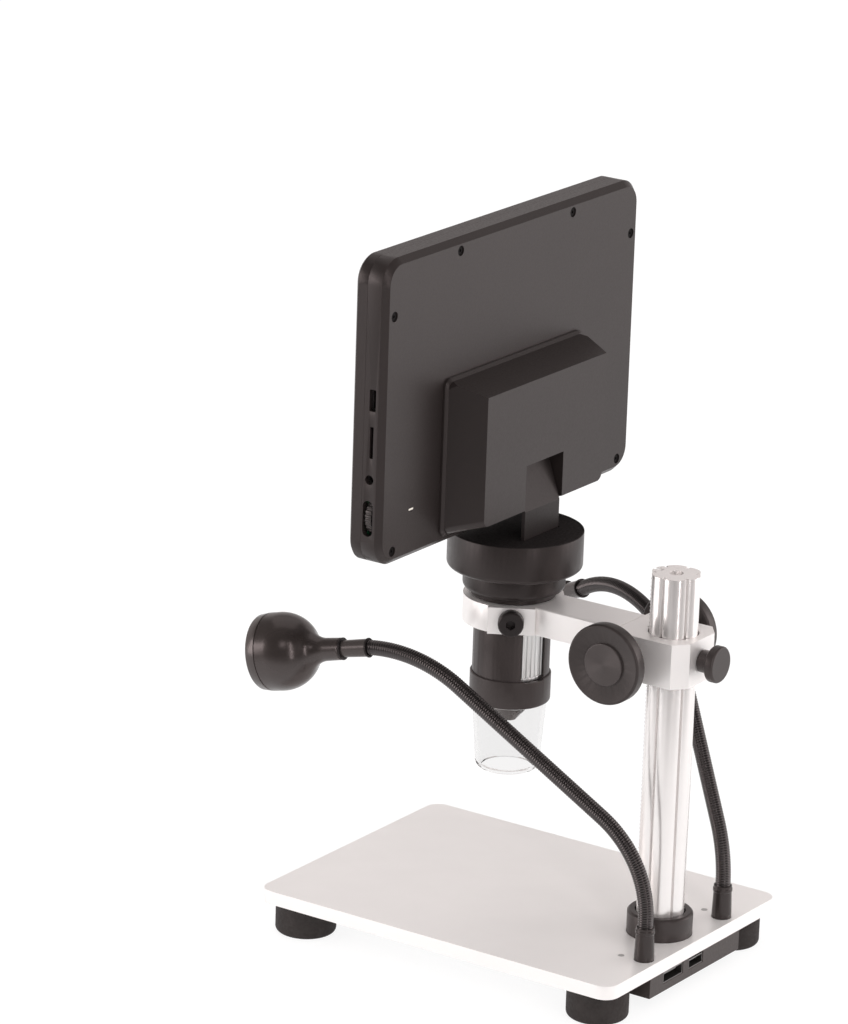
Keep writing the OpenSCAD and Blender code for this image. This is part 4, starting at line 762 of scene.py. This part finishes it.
def fall_off(tree, vector, direction, span, level):
    """From 1 down to a level, smoothly, while the vector's part along a direction grows over a span."""
    node = tree.nodes.new("ShaderNodeMapRange")
    node.interpolation_type = "SMOOTHSTEP"
    node.inputs["From Min"].default_value, node.inputs["From Max"].default_value = span
    node.inputs["To Min"].default_value = 1.0
    node.inputs["To Max"].default_value = level
    tree.links.new(part_along(tree, vector, direction), node.inputs["Value"])
    return node.outputs["Result"]


def only_mirrored(tree, level, glossy):
    """A level for reflected rays and 1 for all others."""
    return math_node(tree, "ADD", math_node(tree, "MULTIPLY", level, glossy),
                     math_node(tree, "SUBTRACT", 1.0, glossy))


def studio_world():
    """White where it is seen and a soft fill where it lights."""
    world = bpy.data.worlds.new("studio")
    world.use_nodes = True
    tree = world.node_tree
    fill = tree.nodes["Background"]
    fill.inputs["Color"].default_value = (*WARM_WHITE, 1)
    fill.inputs["Strength"].default_value = FILL
    seen = tree.nodes.new("ShaderNodeBackground")
    glossy = light_path_mask(tree, GLOSSY_RAYS)
    colour = tree.nodes.new("ShaderNodeMix")
    colour.data_type = "RGBA"
    colour.inputs["A"].default_value = (1, 1, 1, 1)
    colour.inputs["B"].default_value = (*MIRRORED_WHITE, 1)
    tree.links.new(glossy, colour.inputs["Factor"])
    tree.links.new(colour.outputs["Result"], seen.inputs["Color"])
    direction = tree.nodes.new("ShaderNodeTexCoord").outputs["Generated"]
    mirrored = 1.0
    for darker in DARKER:
        mirrored = math_node(tree, "MULTIPLY", mirrored, fall_off(tree, direction, **darker))
    tree.links.new(only_mirrored(tree, mirrored, glossy), seen.inputs["Strength"])
    mix = tree.nodes.new("ShaderNodeMixShader")
    tree.links.new(light_path_mask(tree, SEEN_RAYS), mix.inputs["Fac"])
    tree.links.new(fill.outputs[0], mix.inputs[1])
    tree.links.new(seen.outputs[0], mix.inputs[2])
    tree.links.new(mix.outputs[0], tree.nodes["World Output"].inputs["Surface"])
    bpy.context.scene.world = world


FLOOR_R = 12
FLOOR_DROP = 0.02 * MM
FLOOR_GLOW_SHARE = 0.80
FLOOR_GLOW = 1.08
# In reflections the floor is darker, and more so from this span of metres on, towards the camera
FLOOR_MIRRORED = 0.9
FLOOR_DARKER = {"direction": CAMERA_SIDE, "span": (0.05, 0.7), "level": 0.12}


def studio_floor():
    """Pale floor that keeps the object's shadow and is near white where it is seen."""
    material = bpy.data.materials.new("floor")
    material.use_nodes = True
    tree = material.node_tree
    matte = tree.nodes["Principled BSDF"]
    matte.inputs["Base Color"].default_value = (0.92, 0.92, 0.92, 1)
    matte.inputs["Roughness"].default_value = 0.9
    matte.inputs["Specular IOR Level"].default_value = 0.0
    glow = tree.nodes.new("ShaderNodeEmission")
    place = tree.nodes.new("ShaderNodeTexCoord").outputs["Object"]
    mirrored = math_node(tree, "MULTIPLY", fall_off(tree, place, **FLOOR_DARKER), FLOOR_MIRRORED)
    level = only_mirrored(tree, mirrored, light_path_mask(tree, GLOSSY_RAYS))
    tree.links.new(math_node(tree, "MULTIPLY", level, FLOOR_GLOW), glow.inputs["Strength"])
    mix = tree.nodes.new("ShaderNodeMixShader")
    share = math_node(tree, "MULTIPLY", light_path_mask(tree, SEEN_RAYS), FLOOR_GLOW_SHARE)
    tree.links.new(share, mix.inputs["Fac"])
    tree.links.new(matte.outputs[0], mix.inputs[1])
    tree.links.new(glow.outputs[0], mix.inputs[2])
    tree.links.new(mix.outputs[0], tree.nodes["Material Output"].inputs["Surface"])
    made = bmesh.new()
    bmesh.ops.create_circle(made, cap_ends=True, segments=96, radius=FLOOR_R)
    mesh = bpy.data.meshes.new("floor")
    made.to_mesh(mesh)
    made.free()
    mesh.materials.append(material)
    floor = bpy.data.objects.new("floor", mesh)
    floor.location.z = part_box("rubber_feet")[0].z - FLOOR_DROP
    bpy.context.scene.collection.objects.link(floor)


# Name, azimuth counted from +X towards +Y, elevation, distance, size and power in watts
SOFTBOXES = [
    ("left_softbox", -46, 8, 1.5, (0.8, 0.8), 6.5),
    ("right_softbox", 128, 12, 1.4, (1.0, 0.8), 5),
    ("front_softbox", 30, 38, 1.8, (0.5, 0.5), 1.2),
    ("strip_softbox", 58, 20, 1.5, (0.14, 1.6), 4.2),
    ("top_softbox", 214, 62, 1.3, (1.2, 1.2), 2),
]


def softbox(name, azimuth, elevation, distance, size, watts, target):
    """Soft rectangular light, aimed at the target and out of the camera's sight."""
    a, e = math.radians(azimuth), math.radians(elevation)
    away = Vector((math.cos(a) * math.cos(e), math.sin(a) * math.cos(e), math.sin(e)))
    data = bpy.data.lights.new(name, "AREA")
    data.shape = "RECTANGLE"
    data.size, data.size_y = size
    data.energy = watts
    data.color = LAMP_WHITE
    light = bpy.data.objects.new(name, data)
    light.location = target + away * distance
    light.rotation_mode = "QUATERNION"
    light.rotation_quaternion = away.to_track_quat("Z", "Y")
    light.visible_camera = False
    bpy.context.scene.collection.objects.link(light)


# The camera's place and its picture's sides, as fitted to the photograph
CAMERA_PLACE = Vector((1.62416, 1.05309, 0.76271))
CAMERA_RIGHT = Vector((-0.56707, 0.82306, 0.03178))
CAMERA_UP = Vector((-0.23152, -0.19630, 0.95282))
# The focal length in pixels of the picture's 1024 pixel side, which the sensor's width stands for
FOCAL_PX = 5401
LONG_SIDE_PX = 1024
SENSOR_MM = 36


def studio_camera():
    """Camera at the photograph's place and angle."""
    data = bpy.data.cameras.new("camera")
    data.sensor_width = SENSOR_MM
    data.lens = FOCAL_PX * SENSOR_MM / LONG_SIDE_PX
    data.clip_start, data.clip_end = 0.05, 60
    camera = bpy.data.objects.new("camera", data)
    right = CAMERA_RIGHT.normalized()
    back = right.cross(CAMERA_UP).normalized()
    turn = Matrix((right, back.cross(right), back)).transposed()
    camera.matrix_world = Matrix.Translation(CAMERA_PLACE) @ turn.to_4x4()
    bpy.context.scene.collection.objects.link(camera)
    bpy.context.scene.camera = camera


studio_world()
studio_floor()
middle = (cad_box[0] + cad_box[1]) / 2
for light in SOFTBOXES:
    softbox(*light, middle)
studio_camera()
bpy.context.scene.view_settings.view_transform = "Standard"
